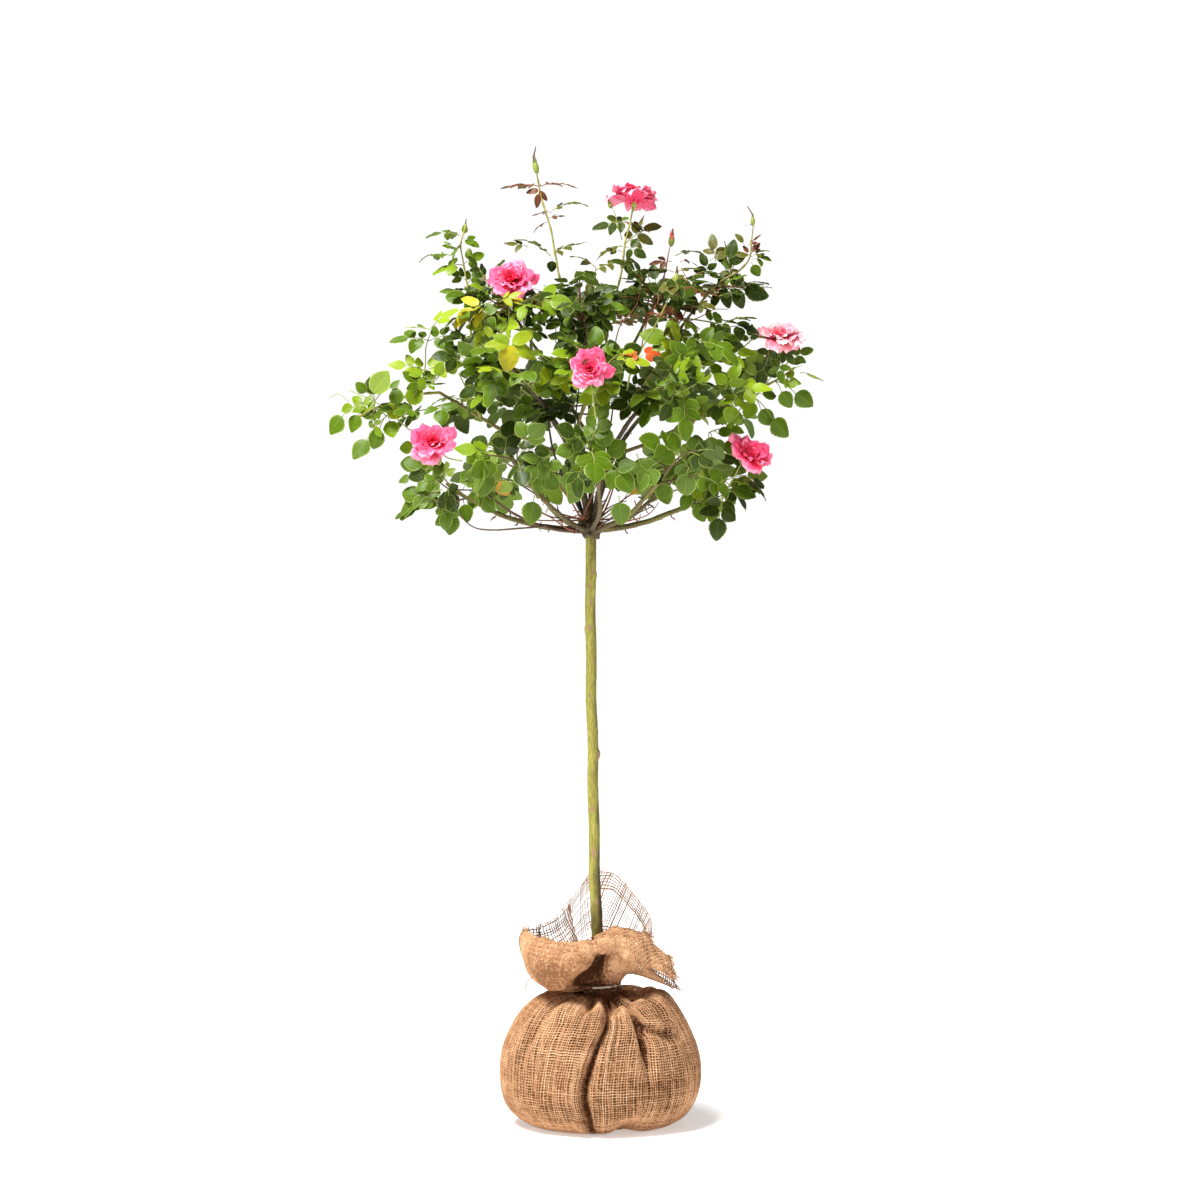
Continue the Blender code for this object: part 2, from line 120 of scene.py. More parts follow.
def grain_group():
    """Fine grain: fractal noise on the object's own coordinates, as a height from 0 to 1."""
    group = bpy.data.node_groups.new("fine_grain", "ShaderNodeTree")
    for name, value in (("Size", 0.002), ("Stretch", 1.0)):
        made = group.interface.new_socket(name, in_out="INPUT", socket_type="NodeSocketFloat")
        made.default_value = value
    group.interface.new_socket("Height", in_out="OUTPUT", socket_type="NodeSocketFloat")
    given, result = group.nodes.new("NodeGroupInput"), group.nodes.new("NodeGroupOutput")
    place = new_node(group, "TexCoord")
    stretch = new_node(group, "CombineXYZ", X=1.0, Y=1.0)
    scaled = new_node(group, "VectorMath")
    scaled.operation = "MULTIPLY"
    rate = new_node(group, "Math")
    rate.operation = "DIVIDE"
    rate.inputs[0].default_value = 1.0
    noise = new_node(group, "TexNoise", Detail=3.0)
    link = group.links.new
    link(given.outputs["Stretch"], stretch.inputs["Z"])
    link(place.outputs["Object"], scaled.inputs[0])
    link(stretch.outputs[0], scaled.inputs[1])
    link(given.outputs["Size"], rate.inputs[1])
    link(scaled.outputs[0], noise.inputs["Vector"])
    link(rate.outputs[0], noise.inputs["Scale"])
    link(noise.outputs["Fac"], result.inputs["Height"])
    return group


GRAIN = grain_group()


def blank_material(name, roughness, specular=0.4):
    """A new material and its shader."""
    material = bpy.data.materials.new(name)
    material.use_nodes = True
    shader = material.node_tree.nodes["Principled BSDF"]
    shader.inputs["Roughness"].default_value = roughness
    shader.inputs["Specular IOR Level"].default_value = specular
    return material, shader


def grain_node(tree, size, stretch=1.0):
    """The fine grain group in this tree, with its values."""
    node = tree.nodes.new("ShaderNodeGroup")
    node.node_tree = GRAIN
    node.inputs["Size"].default_value = size
    node.inputs["Stretch"].default_value = stretch
    return node


def add_grain(material, shader, size, depth, stretch=1.0):
    """Raises the surface by fine grain of this size and depth, in metres."""
    tree = material.node_tree
    grain = grain_node(tree, size, stretch)
    bump = new_node(tree, "Bump", Distance=depth, Strength=1.0)
    tree.links.new(grain.outputs["Height"], bump.inputs["Height"])
    tree.links.new(bump.outputs["Normal"], shader.inputs["Normal"])
    return grain


def plain(name, colour, roughness, grain=0.002, depth=0.0002, specular=0.4):
    """One base colour with fine relief: for things that are dealt their tint piece by piece."""
    material, shader = blank_material(name, roughness, specular)
    shader.inputs["Base Color"].default_value = (*colour, 1.0)
    add_grain(material, shader, grain, depth)
    return material


def leaf_materials():
    """Four materials for each leaf tint, in the order of LEAF_SIDES."""
    made = []
    for name, colour in LEAF_TINTS.items():
        tints = (
            colour,
            mixed(colour, PALE_EDGE, EDGE_PALENESS),
            mixed(colour, PALE_EDGE, RIB_PALENESS),
            mixed(colour, GREY_UNDER, UNDER_GREYNESS),
        )
        for side, shade in zip(LEAF_SIDES, tints):
            rough = UNDER_ROUGHNESS if side == "under" else UPPER_ROUGHNESS
            made.append(plain(f"leaf_{name}_{side}", shade, rough, 0.0035, 0.0005, 0.18))
    return made


def ramp(tree, factor, stops):
    """A colour ramp fed by factor; stops are (place, tint) pairs."""
    node = new_node(tree, "ValToRGB")
    elements = node.color_ramp.elements
    while len(elements) < len(stops):
        elements.new(0.5)
    for element, (place, shade) in zip(elements, stops):
        element.position = place
        element.color = (*tint(*shade), 1.0)
    tree.links.new(factor, node.inputs["Fac"])
    return node.outputs["Color"]


def blend_colours(tree, factor, first, second):
    """first where the factor is 0, second where it is 1."""
    node = new_node(tree, "Mix")
    node.data_type = "RGBA"
    for name, source in (("Factor", factor), ("A", first), ("B", second)):
        tree.links.new(source, node.inputs[name])
    return node.outputs["Result"]


def attribute(tree, name):
    """The value that the mesh holds under this name."""
    node = new_node(tree, "Attribute")
    node.attribute_name = name
    return node.outputs["Fac"]


def paint(material, shader, source, stops):
    """Base colour by a ramp over the source; stops are (place, tint) pairs."""
    shade = ramp(material.node_tree, source, stops)
    material.node_tree.links.new(shade, shader.inputs["Base Color"])


def bark_material():
    """Green bark that turns brown with age, and browner on the stem's right side, partly as painted shade;
    streaked along the grain, with tan scars.
    """
    material, shader = blank_material("rose_bark", 0.6, 0.3)
    tree = material.node_tree
    streaks = add_grain(material, shader, 0.0022, 0.0007, 0.22).outputs["Height"]
    fine = grain_node(tree, 0.0006).outputs["Height"]
    age, scar = attribute(tree, "age"), attribute(tree, "scar")
    green = ramp(tree, streaks, [(0.3, (132, 124, 54)), (0.55, (158, 152, 66)), (0.75, (182, 172, 96))])
    brown = ramp(tree, streaks, [(0.3, (42, 31, 18)), (0.55, (70, 56, 31)), (0.75, (102, 84, 50))])
    tan = ramp(tree, fine, [(0.3, (112, 80, 56)), (0.7, (178, 148, 112))])
    shade = blend_colours(tree, scar, blend_colours(tree, age, green, brown), tan)
    tree.links.new(shade, shader.inputs["Base Color"])
    return material


def soil_material():
    """Dark moist earth in crumbs, made darker still as painted shade where it shows through the cloth's
    holes.
    """
    material, shader = blank_material("moist_soil_and_painted_shade", 0.95, 0.2)
    crumbs = add_grain(material, shader, 0.006, 0.002).outputs["Height"]
    paint(material, shader, crumbs, [(0.3, (22, 13, 8)), (0.7, (50, 32, 21))])
    return material


def floor_material():
    """Matt near-white floor with the faintest mottle, and a glow that grows away from the middle."""
    material, shader = blank_material("studio_floor", 0.9, 0.1)
    mottle = add_grain(material, shader, 0.4, 0.0).outputs["Height"]
    paint(material, shader, mottle, [(0.0, (250, 248, 246)), (1.0, (254, 253, 252))])
    shader.inputs["Emission Color"].default_value = (1.0, 1.0, 1.0, 1.0)
    tree, link = material.node_tree, material.node_tree.links.new
    place, away = new_node(tree, "TexCoord"), new_node(tree, "VectorMath")
    away.operation = "LENGTH"
    glow = new_node(tree, "MapRange", **FLOOR_GLOW)
    link(place.outputs["Object"], away.inputs[0])
    link(away.outputs["Value"], glow.inputs["Value"])
    link(glow.outputs["Result"], shader.inputs["Emission Strength"])
    return material


# ---- Shapes as arrays ----


def unit(vectors):
    """The vectors at length one."""
    return vectors / np.maximum(np.linalg.norm(vectors, axis=-1, keepdims=True), 1e-12)


def square_to(vectors, along):
    """The vectors with their share along the unit vectors taken out, at length one."""
    return unit(vectors - along * (vectors * along).sum(-1, keepdims=True))


def rising(value, start, width, least=0):
    """(value - start) / width, held between the least and 1."""
    return np.clip((value - start) / width, least, 1)


def falling(value, end, width, least=0):
    """(end - value) / width, held between the least and 1."""
    return np.clip((end - value) / width, least, 1)


def bell(away, width):
    """exp(-(away / width)²)"""
    return np.exp(-((away / width) ** 2))


def round_turns(count):
    """Angles evenly round a circle."""
    return np.arange(count) * 2 * math.pi / count


def walked(points):
    """How far along its row each point is, from 0 at the first."""
    steps = np.linalg.norm(np.diff(points, axis=-2), axis=-1)
    return np.concatenate((np.zeros_like(steps[..., :1]), np.cumsum(steps, axis=-1)), axis=-1)


HASH = (73856093, 19349663, 83492791, 2654435761, 1274126177)  # large primes that scatter cube corners


def lattice_noise(points, cell, seed):
    """Smooth seeded noise from -1 to 1: values at the corners of cubes this size, joined by 3f² - 2f³."""
    place = np.asarray(points) / cell
    corner = np.floor(place).astype(np.int64)
    part = place - corner
    part = part * part * (3 - 2 * part)
    total = np.zeros(place.shape[:-1])
    for dx in (0, 1):
        for dy in (0, 1):
            for dz in (0, 1):
                x, y, z = (corner[..., k] + d for k, d in enumerate((dx, dy, dz)))
                key = (x * HASH[0]) ^ (y * HASH[1]) ^ (z * HASH[2]) ^ (seed * HASH[3])
                key = (key ^ (key >> 13)) * HASH[4] & 0xFFFFFFFF
                value = ((key ^ (key >> 16)) & 0xFFFF) / 32767.5 - 1
                share = np.ones_like(total)
                for k, d in enumerate((dx, dy, dz)):
                    share = share * (part[..., k] if d else 1 - part[..., k])
                total += share * value
    return total


def smooth_path(points, count):
    """Points evenly along a curve that passes through every given point (Catmull-Rom)."""
    points = np.array(points, float)
    ends = 2 * points[:1] - points[1:2], 2 * points[-1:] - points[-2:-1]
    padded = np.concatenate((ends[0], points, ends[1]))
    spot = np.linspace(0, len(points) - 1, count)
    leg = np.minimum(spot.astype(int), len(points) - 2)
    t = (spot - leg)[:, None]
    a, b, c, d = (padded[leg + k] for k in range(4))
    return 0.5 * (2 * b + (c - a) * t + (2 * a - 5 * b + 4 * c - d) * t**2 + (3 * b - a - 3 * c + d) * t**3)


def bowed_path(start, end, bow, count):
    """start + (end - start)·t + bow·4t(1 - t), for t from 0 to 1; arrays of paths work as well."""
    t = np.linspace(0, 1, count)[:, None]
    start, end, bow = (np.asarray(v, float)[..., None, :] for v in (start, end, bow))
    return start + (end - start) * t + bow * 4 * t * (1 - t)


def grid_faces(rows, columns, closed=False):
    """Quads of a grid of points laid row by row; closed joins the last column to the first."""
    spots = np.arange(rows * columns).reshape(rows, columns)
    beside = np.roll(spots, -1, axis=1) if closed else spots[:, 1:]
    here = spots if closed else spots[:, :-1]
    quads = here[:-1], beside[:-1], beside[1:], here[1:]
    return np.stack(quads, axis=-1).reshape(-1, 4)


def tube_rings(paths, radii, sides):
    """Rings of points square to each path: point + radius·(cos a·across + sin a·up)."""
    along = unit(np.gradient(paths, axis=-2))
    mean = unit(paths[..., -1, :] - paths[..., 0, :])
    aid = np.eye(3)[np.argmin(np.abs(mean), axis=-1)][..., None, :]
    across = unit(np.cross(along, aid))
    up = np.cross(along, across)
    turns = round_turns(sides)
    circle = np.cos(turns)[:, None] * across[..., None, :] + np.sin(turns)[:, None] * up[..., None, :]
    return paths[..., None, :] + circle * np.asarray(radii)[..., None, None]


class Heap:
    """Surfaces laid one after another to become one mesh, with a tone number for each face."""

    def __init__(self):
        self.points, self.faces, self.tones, self.marks, self.count = [], [], [], {}, 0

    def add(self, points, faces, tones=0, **marks):
        """One surface; marks are values of its points."""
        points = np.asarray(points, float).reshape(-1, 3)
        faces = np.asarray(faces)
        self.points.append(points)
        self.faces.append(faces + self.count)
        self.tones.append(np.broadcast_to(tones, len(faces)))
        for name, values in marks.items():
            self.marks.setdefault(name, []).append(np.broadcast_to(values, len(points)))
        self.count += len(points)

    def add_copies(self, points, faces, tones=0):
        """Many copies of one shape: points (copies, corners, 3), faces of one copy, and tones."""
        copies, corners = points.shape[:2]
        shifted = faces[None] + np.arange(copies)[:, None, None] * corners
        tones = np.broadcast_to(tones, (copies, len(faces))).ravel()
        self.add(points, shifted.reshape(-1, faces.shape[1]), tones)

    def add_tubes(self, paths, radii, sides, tones=0):
        """Tubes with the same number of points each; tones is one number or one for each tube."""
        rings = tube_rings(paths, radii, sides)
        tubes, count = rings.shape[:2]
        faces = grid_faces(count, sides, closed=True)
        tones = np.reshape(np.broadcast_to(tones, tubes), (-1, 1)) + np.zeros(len(faces), int)
        self.add_copies(rings.reshape(tubes, -1, 3), faces, tones)

    def piece(self, name, materials, slot, replaces=()):
        """The mesh object of the heap, riding on the body, with only the materials that it uses."""
        mesh = bpy.data.meshes.new(name)
        points = np.concatenate(self.points).astype(np.float32)
        corners = np.concatenate([faces.ravel() for faces in self.faces]).astype(np.int32)
        sizes = np.concatenate([np.full(len(faces), faces.shape[1]) for faces in self.faces])
        used, tones = np.unique(np.concatenate(self.tones), return_inverse=True)
        mesh.vertices.add(len(points))
        mesh.vertices.foreach_set("co", points.ravel())
        mesh.loops.add(len(corners))
        mesh.loops.foreach_set("vertex_index", corners)
        mesh.polygons.add(len(sizes))
        mesh.polygons.foreach_set("loop_start", (np.cumsum(sizes) - sizes).astype(np.int32))
        mesh.polygons.foreach_set("material_index", tones.astype(np.int32).ravel())
        mesh.polygons.foreach_set("use_smooth", np.full(len(sizes), True))
        mesh.update(calc_edges=True)
        for mark, values in self.marks.items():
            held = mesh.attributes.new(mark, "FLOAT", "POINT")
            held.data.foreach_set("value", np.concatenate(values).astype(np.float32))
        for tone in used:
            mesh.materials.append(materials[tone])
        thing = bpy.data.objects.new(name, mesh)
        bpy.context.scene.collection.objects.link(thing)
        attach(thing, BODY)
        if replaces:
            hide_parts(*replaces)
        return thing


# ---- Leaflets ----

LEAFLET_ROWS = np.array((0.0, 0.13, 0.29, 0.46, 0.63, 0.80, 0.93, 1.0))
LEAFLET_WIDTH = 0.37  # half width, as a share of the length
MARGIN_FROM = 0.90  # share of the half width at which the pale edge starts
TOOTH, UNDER_DEPTH = 0.022, 0.014  # how far a tooth stands out and the underside lies, by the length


def leaflet_half_width(t):
    """0.37·sin(πt^0.82)^0.72·(1 - 0.12t), and a little more at both tips so that no face has no width."""
    return LEAFLET_WIDTH * np.sin(math.pi * t**0.82).clip(0) ** 0.72 * (1 - 0.12 * t) + 0.006


def leaflet_template():
    """Points (along, across as a share of the half width, quilt, depth) and faces by kind of one leaflet."""
    rows = len(LEAFLET_ROWS)
    wide = leaflet_half_width(LEAFLET_ROWS)
    rib = np.minimum(0.016 - 0.008 * LEAFLET_ROWS, 0.5 * wide) / wide
    shares = np.array([[-1, -MARGIN_FROM, -0.44, -r, r, 0.44, MARGIN_FROM, 1] for r in rib])
    quilt = np.where(np.arange(rows) % 2, 1.0, -1.0)[:, None] * np.array([0, 0.4, 1, 0, 0, 1, 0.4, 0])
    along = np.repeat(LEAFLET_ROWS[:, None], 8, axis=1)
    upper = np.stack((along, shares, quilt, np.zeros_like(along)), -1).reshape(-1, 4)
    strips = grid_faces(rows, 8).reshape(rows - 1, 7, 4)
    blade, ribs = strips[:, (1, 2, 4, 5)].reshape(-1, 4), strips[:, 3]
    middle = (LEAFLET_ROWS[:-1] * 0.35 + LEAFLET_ROWS[1:] * 0.65)[:, None]
    swell = 1 + TOOTH / leaflet_half_width(middle[:, 0])[:, None]
    ones = np.ones_like(middle)
    teeth = [np.column_stack((middle, side * swell, 0 * ones, 0 * ones)) for side in (-1, 1)]
    spots = np.arange(rows * 8).reshape(rows, 8)
    first = rows * 8
    tooth = first + np.arange(rows - 1)
    left = np.stack((spots[:-1, 1], spots[:-1, 0], tooth, spots[1:, 0], spots[1:, 1]), -1)
    right = np.stack((spots[:-1, 7], spots[:-1, 6], spots[1:, 6], spots[1:, 7], tooth + rows - 1), -1)
    edge = np.array((-0.97, 0.0, 0.97))
    low = np.stack(np.meshgrid(LEAFLET_ROWS, edge, indexing="ij"), -1).reshape(-1, 2)
    under = np.column_stack((low, np.zeros(len(low)), np.full(len(low), -UNDER_DEPTH)))
    under_faces = grid_faces(rows, 3)[:, ::-1] + first + 2 * (rows - 1)
    points = np.concatenate((upper, *teeth, under))
    return points, (blade, np.concatenate((left, right))[:, ::-1], ribs, under_faces)


LEAFLET_POINTS, LEAFLET_FACES = leaflet_template()


def add_leaflets(heap, base, along, facing, length, tones, random, breadth=1.0):
    """Leaflets from their bases. Across the blade the height is fold·|s| - curl·s² and a quilt between
    the side veins; along it the blade bends over an arc of the droop angle."""
    count = len(base)
    t, share, quilt, depth = LEAFLET_POINTS.T
    broad = random.uniform(0.90, 1.12, (count, 1)) * np.reshape(breadth, (-1, 1))
    across = share * leaflet_half_width(t) * broad
    fold = random.uniform(0.0, 0.26, (count, 1))
    curl = random.uniform(0.1, 0.9, (count, 1))
    droop = random.uniform(0.10, 0.80, (count, 1))
    height = fold * np.abs(across) - curl * across**2 + 0.026 * quilt * leaflet_half_width(t) * 3 + depth
    ruffle = random.uniform(0, 6.3, (count, 1))
    height = height + 0.02 * np.sin(9 * t + ruffle) * share**2 * np.sign(share)
    side = np.cross(along, facing)
    angle = droop * t
    forward = np.sin(angle) / droop + height * np.sin(angle)
    rise = height * np.cos(angle) - (1 - np.cos(angle)) / droop
    twist = random.normal(0, 0.16, (count, 1)) * t
    sideways, lifted = across - twist * rise, rise + twist * across
    local = np.stack((forward, sideways, lifted), -1)
    points = base[:, None] + length[:, None, None] * (local @ np.stack((along, side, facing), 1))
    starts = heap.count + np.arange(count)[:, None, None] * points.shape[1]
    heap.points.append(points.reshape(-1, 3))
    heap.count += points.shape[0] * points.shape[1]
    for kind, faces in enumerate(LEAFLET_FACES):
        heap.faces.append((faces[None] + starts).reshape(-1, faces.shape[1]))
        heap.tones.append(np.repeat(tones * len(LEAF_SIDES) + kind, len(faces)))


TONES = list(LEAF_TINTS)


def tones_of(names):
    """Numbers of these leaf tints."""
    return np.array([TONES.index(name) for name in names])


def add_leaves(leaf_heap, stalk_heap, rows, random):
    """Compound leaves: a curved stalk with one leaflet at its tip and pairs along it.

    rows has base, heading, facing, size (terminal leaflet's length), leaflets (1, 3 or 5) and tone.
    """
    base, heading, facing, size, leaflets, tone, breadth = rows
    count = len(base)
    heading = unit(heading)
    pairs = (leaflets - 1) // 2
    reach = size * (0.28 + 0.42 * pairs)
    start = unit(heading + 0.45 * UP)
    t = np.linspace(0, 1, 5)[:, None]
    run = start[:, None] * t + (heading - start)[:, None] * t**2 / 2
    paths = base[:, None] + reach[:, None, None] * run
    radii = np.outer(size / 0.035, np.linspace(0.0009, 0.00055, 5))
    stalk_heap.add_tubes(paths, radii, 4, np.where(tone == TONES.index("bronze"), 2, 0))

    facing = square_to(facing, heading)
    placed = [(paths[:, -1], heading, facing, size, tone, breadth)]
    for pair in (1, 2):
        has = pairs >= pair
        place = 1.02 - 0.36 * pair
        tangent = unit(start + (heading - start) * place)
        side = np.cross(tangent, square_to(facing, tangent))
        for sign in (-1, 1):
            angle = np.radians(random.uniform(52, 78, count))[:, None]
            out = unit(np.cos(angle) * tangent + sign * np.sin(angle) * side)
            out = unit(out + random.normal(0, 0.12, (count, 3)))
            spot = base + reach[:, None] * (start * place + (heading - start) * place**2 / 2)
            turned = square_to(facing + random.normal(0, 0.22, (count, 3)), out)
            length = size * random.uniform(0.80, 0.98, count) * (1.05 - 0.11 * pair)
            leaflet = spot + out * size[:, None] * 0.05, out, turned, length, tone, breadth
            placed.append([column[has] for column in leaflet])
    *columns, breadths = (np.concatenate(column) for column in zip(*placed))
    add_leaflets(leaf_heap, *columns, random, breadths)


# ---- Framework: stem, union and limbs ----

UNION_MIDDLE = np.array((-0.0140, 0.0, 0.8925))
UNION_HALF = np.array((0.0190, 0.0180, 0.0215))
LOW, STEEP = -0.004, 0.007  # height of a bough's start above the union's middle
UNION_SPREAD = 0.040
STEM_LEAN = (  # height and x of the stem's middle line
    (0.1861, 0.0), (0.291, -0.0045), (0.381, -0.0083), (0.579, -0.0113),
    (0.633, -0.0128), (0.783, -0.0144), (0.873, -0.0135), (0.893, -0.0138),
)
STEM_DIAMETER = (
    (0.1861, 0.0236), (0.205, 0.0200), (0.235, 0.0182), (0.300, 0.0172), (0.600, 0.0163), (0.873, 0.0158),
)
STEM_KNOTS = (  # height, direction round the stem, how far it stands out, half its length
    (0.552, -10, 0.0030, 0.009), (0.468, -120, 0.0015, 0.008), (0.738, 190, 0.0014, 0.008),
    (0.820, 5, 0.0012, 0.008), (0.405, -100, 0.0010, 0.008), (0.330, -88, 0.0008, 0.007),
)
STEM_SCARS = (  # height, direction round the stem, half height, half angle
    (0.552, -22, 0.0050, 34), (0.470, -105, 0.0040, 26), (0.405, -96, 0.0075, 22), (0.330, -86, 0.0048, 15),
    (0.826, -70, 0.0050, 16), (0.804, -105, 0.0035, 20), (0.780, -80, 0.0060, 14), (0.742, -100, 0.0048, 24),
    (0.690, -60, 0.0030, 12), (0.640, -110, 0.0030, 14), (0.258, -75, 0.0050, 18), (0.228, -95, 0.0060, 16),
    (0.700, 80, 0.0050, 22), (0.610, 130, 0.0042, 20), (0.360, 60, 0.0060, 20), (0.500, 40, 0.0040, 16),
)
STEM_AGE = ((0.186, 1.00), (0.30, 0.86), (0.38, 0.46), (0.55, 0.22), (0.80, 0.10), (0.88, 0.45))  # by height
STEM_RELIEF = ((0.186, 0.0005), (0.32, 0.00035), (0.38, 0.00016), (0.9, 0.00018))  # by height
STEM_RINGS = (0.258, 0.315, 0.372, 0.430, 0.497, 0.600, 0.668, 0.742, 0.804, 0.850)  # heights of leaf scars
MASS_MIDDLES = {  # of each mass of foliage, in mm
    "low_left": (-228, -40, 957), "low_front_left": (-128, -165, 990), "low_front": (-5, -205, 992),
    "low_front_right": (108, -165, 985), "low_right": (183, -20, 960), "low_back_right": (115, 165, 985),
    "low_back_left": (-115, 170, 985), "mid_left": (-240, 0, 1094), "mid_front_left": (-128, -140, 1120),
    "mid_front": (-5, -175, 1120), "mid_front_right": (108, -140, 1105), "mid_right": (207, 0, 1090),
    "mid_back_right": (120, 150, 1110), "mid_back_left": (-120, 155, 1110), "high_left": (-146, -20, 1232),
    "high_front": (-30, -80, 1215), "high_front_right": (85, -30, 1232), "high_back": (0, 110, 1220),
    "high_right": (213, 0, 1256), "top": (57, 0, 1354), "tall_shoot": (-87, -40, 1379),
    "left_shoot": (-214, -10, 1300), "right_shoot": (228, 0, 1333), "left_arm": (-362, -20, 1055),
    "right_arm": (291, -20, 1130),
}
MASSES = {name: np.array(middle) / 1000 for name, middle in MASS_MIDDLES.items()}
LIMBS = {  # what it leaves, where, the mass it enters, diameters at both ends, bow
    "bough_low_left": ("union", LOW, "low_left", 0.0092, 0.0052, (-0.01, -0.01, -0.018)),
    "bough_low_front_left": ("union", LOW, "low_front_left", 0.0080, 0.0050, (0, 0, -0.020)),
    "bough_low_front": ("union", LOW, "low_front", 0.0074, 0.0048, (0.008, 0, -0.018)),
    "bough_low_front_right": ("union", LOW, "low_front_right", 0.0080, 0.0050, (0, 0, -0.020)),
    "bough_low_right": ("union", LOW, "low_right", 0.0092, 0.0056, (0.01, 0.01, -0.014)),
    "bough_low_back_right": ("union", LOW, "low_back_right", 0.0080, 0.0050, (0, 0, -0.022)),
    "bough_low_back_left": ("union", LOW, "low_back_left", 0.0080, 0.0050, (0, 0, -0.022)),
    "bough_front_left": ("union", STEEP, "mid_front_left", 0.0092, 0.0052, (0.018, 0.022, 0.016)),
    "bough_front_right": ("union", STEEP, "mid_front_right", 0.0088, 0.0050, (-0.022, 0.020, 0.018)),
    "bough_back_right": ("union", STEEP, "mid_back_right", 0.0086, 0.0050, (-0.022, -0.024, 0.018)),
    "bough_back_left": ("union", STEEP, "mid_back_left", 0.0086, 0.0050, (0.020, -0.026, 0.018)),
    "bough_leader": ("union", STEEP, "high_front", 0.0084, 0.0044, (0.009, 0.025, 0.0)),
    "bough_mid_left": ("bough_back_left", 0.40, "mid_left", 0.0062, 0.0044, (0.0, 0.004, -0.010)),
    "bough_mid_front": ("bough_front_left", 0.38, "mid_front", 0.0060, 0.0042, (0.0, 0.006, 0.006)),
    "bough_mid_right": ("bough_back_right", 0.40, "mid_right", 0.0060, 0.0042, (0.0, 0.0, -0.006)),
    "bough_high_left": ("bough_leader", 0.38, "high_left", 0.0060, 0.0040, (0.006, 0.0, -0.004)),
    "bough_high_right": ("bough_leader", 0.50, "high_front_right", 0.0060, 0.0040, (0, 0.004, -0.006)),
    "bough_high_back": ("bough_leader", 0.56, "high_back", 0.0056, 0.0040, (0, 0.008, -0.010)),
    "shoot_top": ("high_front_right", 0, "top", 0.0040, 0.0032, (-0.010, 0.0, 0.0)),
    "shoot_tall": ("high_front", 0, "tall_shoot", 0.0044, 0.0034, (-0.006, 0.0, 0.0)),
    "shoot_left": ("high_left", 0, "left_shoot", 0.0038, 0.0030, (-0.006, 0.0, 0.004)),
    "shoot_arching": ("mid_front_right", 0, "high_right", 0.0052, 0.0038, (0.0, 0.0, 0.020)),
    "shoot_right": ("high_right", 0, "right_shoot", 0.0036, 0.0030, (0.004, 0.0, 0.0)),
    "arm_left": ("mid_left", 0, "left_arm", 0.0040, 0.0030, (0.0, 0.0, 0.010)),
    "arm_right": ("mid_right", 0, "right_arm", 0.0040, 0.0030, (0.0, 0.0, -0.006)),
}
BROWN_BOUGHS = {  # how brown the bark is at the foot, where 1 is fully brown
    "bough_low_left": 1.0, "bough_low_right": 0.85, "bough_low_front_left": 1.0, "bough_low_front": 1.05,
    "bough_low_front_right": 0.95, "bough_front_left": 1.5, "bough_front_right": 1.5,
    "bough_back_left": 1.5, "bough_back_right": 1.5, "bough_leader": 1.3, "shoot_arching": 0.55,
    "shoot_right": 0.45,
}
BOUGH_BROWN, SHOOT_BROWN, BROWN_FADE = 0.74, 0.15, 0.30  # of the others, and how much of it goes by the tip
LIMB_POINTS, LIMB_SIDES = 64, 14
COURSES = {  # shoots with points of their own: diameters at both ends in metres, then in mm y and (x, z)
    "shoot_tall": (0.0032, 0.0022, -50, ((-28, 1213), (-56, 1251), (-66, 1294), (-73, 1333), (-86, 1376),
                                         (-94, 1416))),
    "shoot_top": (0.0032, 0.0024, -40, ((9, 1163), (14, 1203), (22, 1230), (33, 1276), (37, 1312),
                                        (45, 1345), (50, 1372))),
    "shoot_left": (0.0030, 0.0018, -20, ((-192, 1170), (-196, 1229), (-199, 1257), (-204, 1287),
                                         (-208, 1313), (-202, 1336))),
    "shoot_arching": (0.0042, 0.0030, -40, ((52, 1083), (91, 1139), (124, 1193), (144, 1218), (173, 1251),
                                            (200, 1268))),
    "shoot_right": (0.0028, 0.0016, -10, ((200, 1268), (222.5, 1292), (226.5, 1318), (229.5, 1346))),
}


def limb_start(name):
    """Where a limb leaves the union, the middle of a mass or its parent's middle line."""
    parent, along, mass = LIMBS[name][:3]
    if parent == "union":
        heading = MASSES[mass] - UNION_MIDDLE
        return UNION_MIDDLE + np.array((*(heading[:2] * UNION_SPREAD), along))
    if parent in MASSES:
        return MASSES[parent]
    _, _, entered, _, _, bow = LIMBS[parent]
    return bowed_path(limb_start(parent), MASSES[entered], bow, 101)[round(along * 100)]


def limb_path(name, count=LIMB_POINTS):
    """The limb's middle line to the middle of its mass, with small bends that fade at both ends."""
    mass, bow = LIMBS[name][2], LIMBS[name][5]
    if name in COURSES:
        depth, flat = COURSES[name][2:]
        return smooth_path(np.array([(x, depth, z) for x, z in flat]) / 1000, count)
    path = bowed_path(limb_start(name), MASSES[mass], bow, count)
    seed = list(LIMBS).index(name)
    bends = np.stack([lattice_noise(path + axis, 0.035, seed + 40 * axis) for axis in range(3)], -1)
    fade = np.sin(np.linspace(0, math.pi, count))[:, None] ** 0.5
    return path + 0.0022 * bends * fade


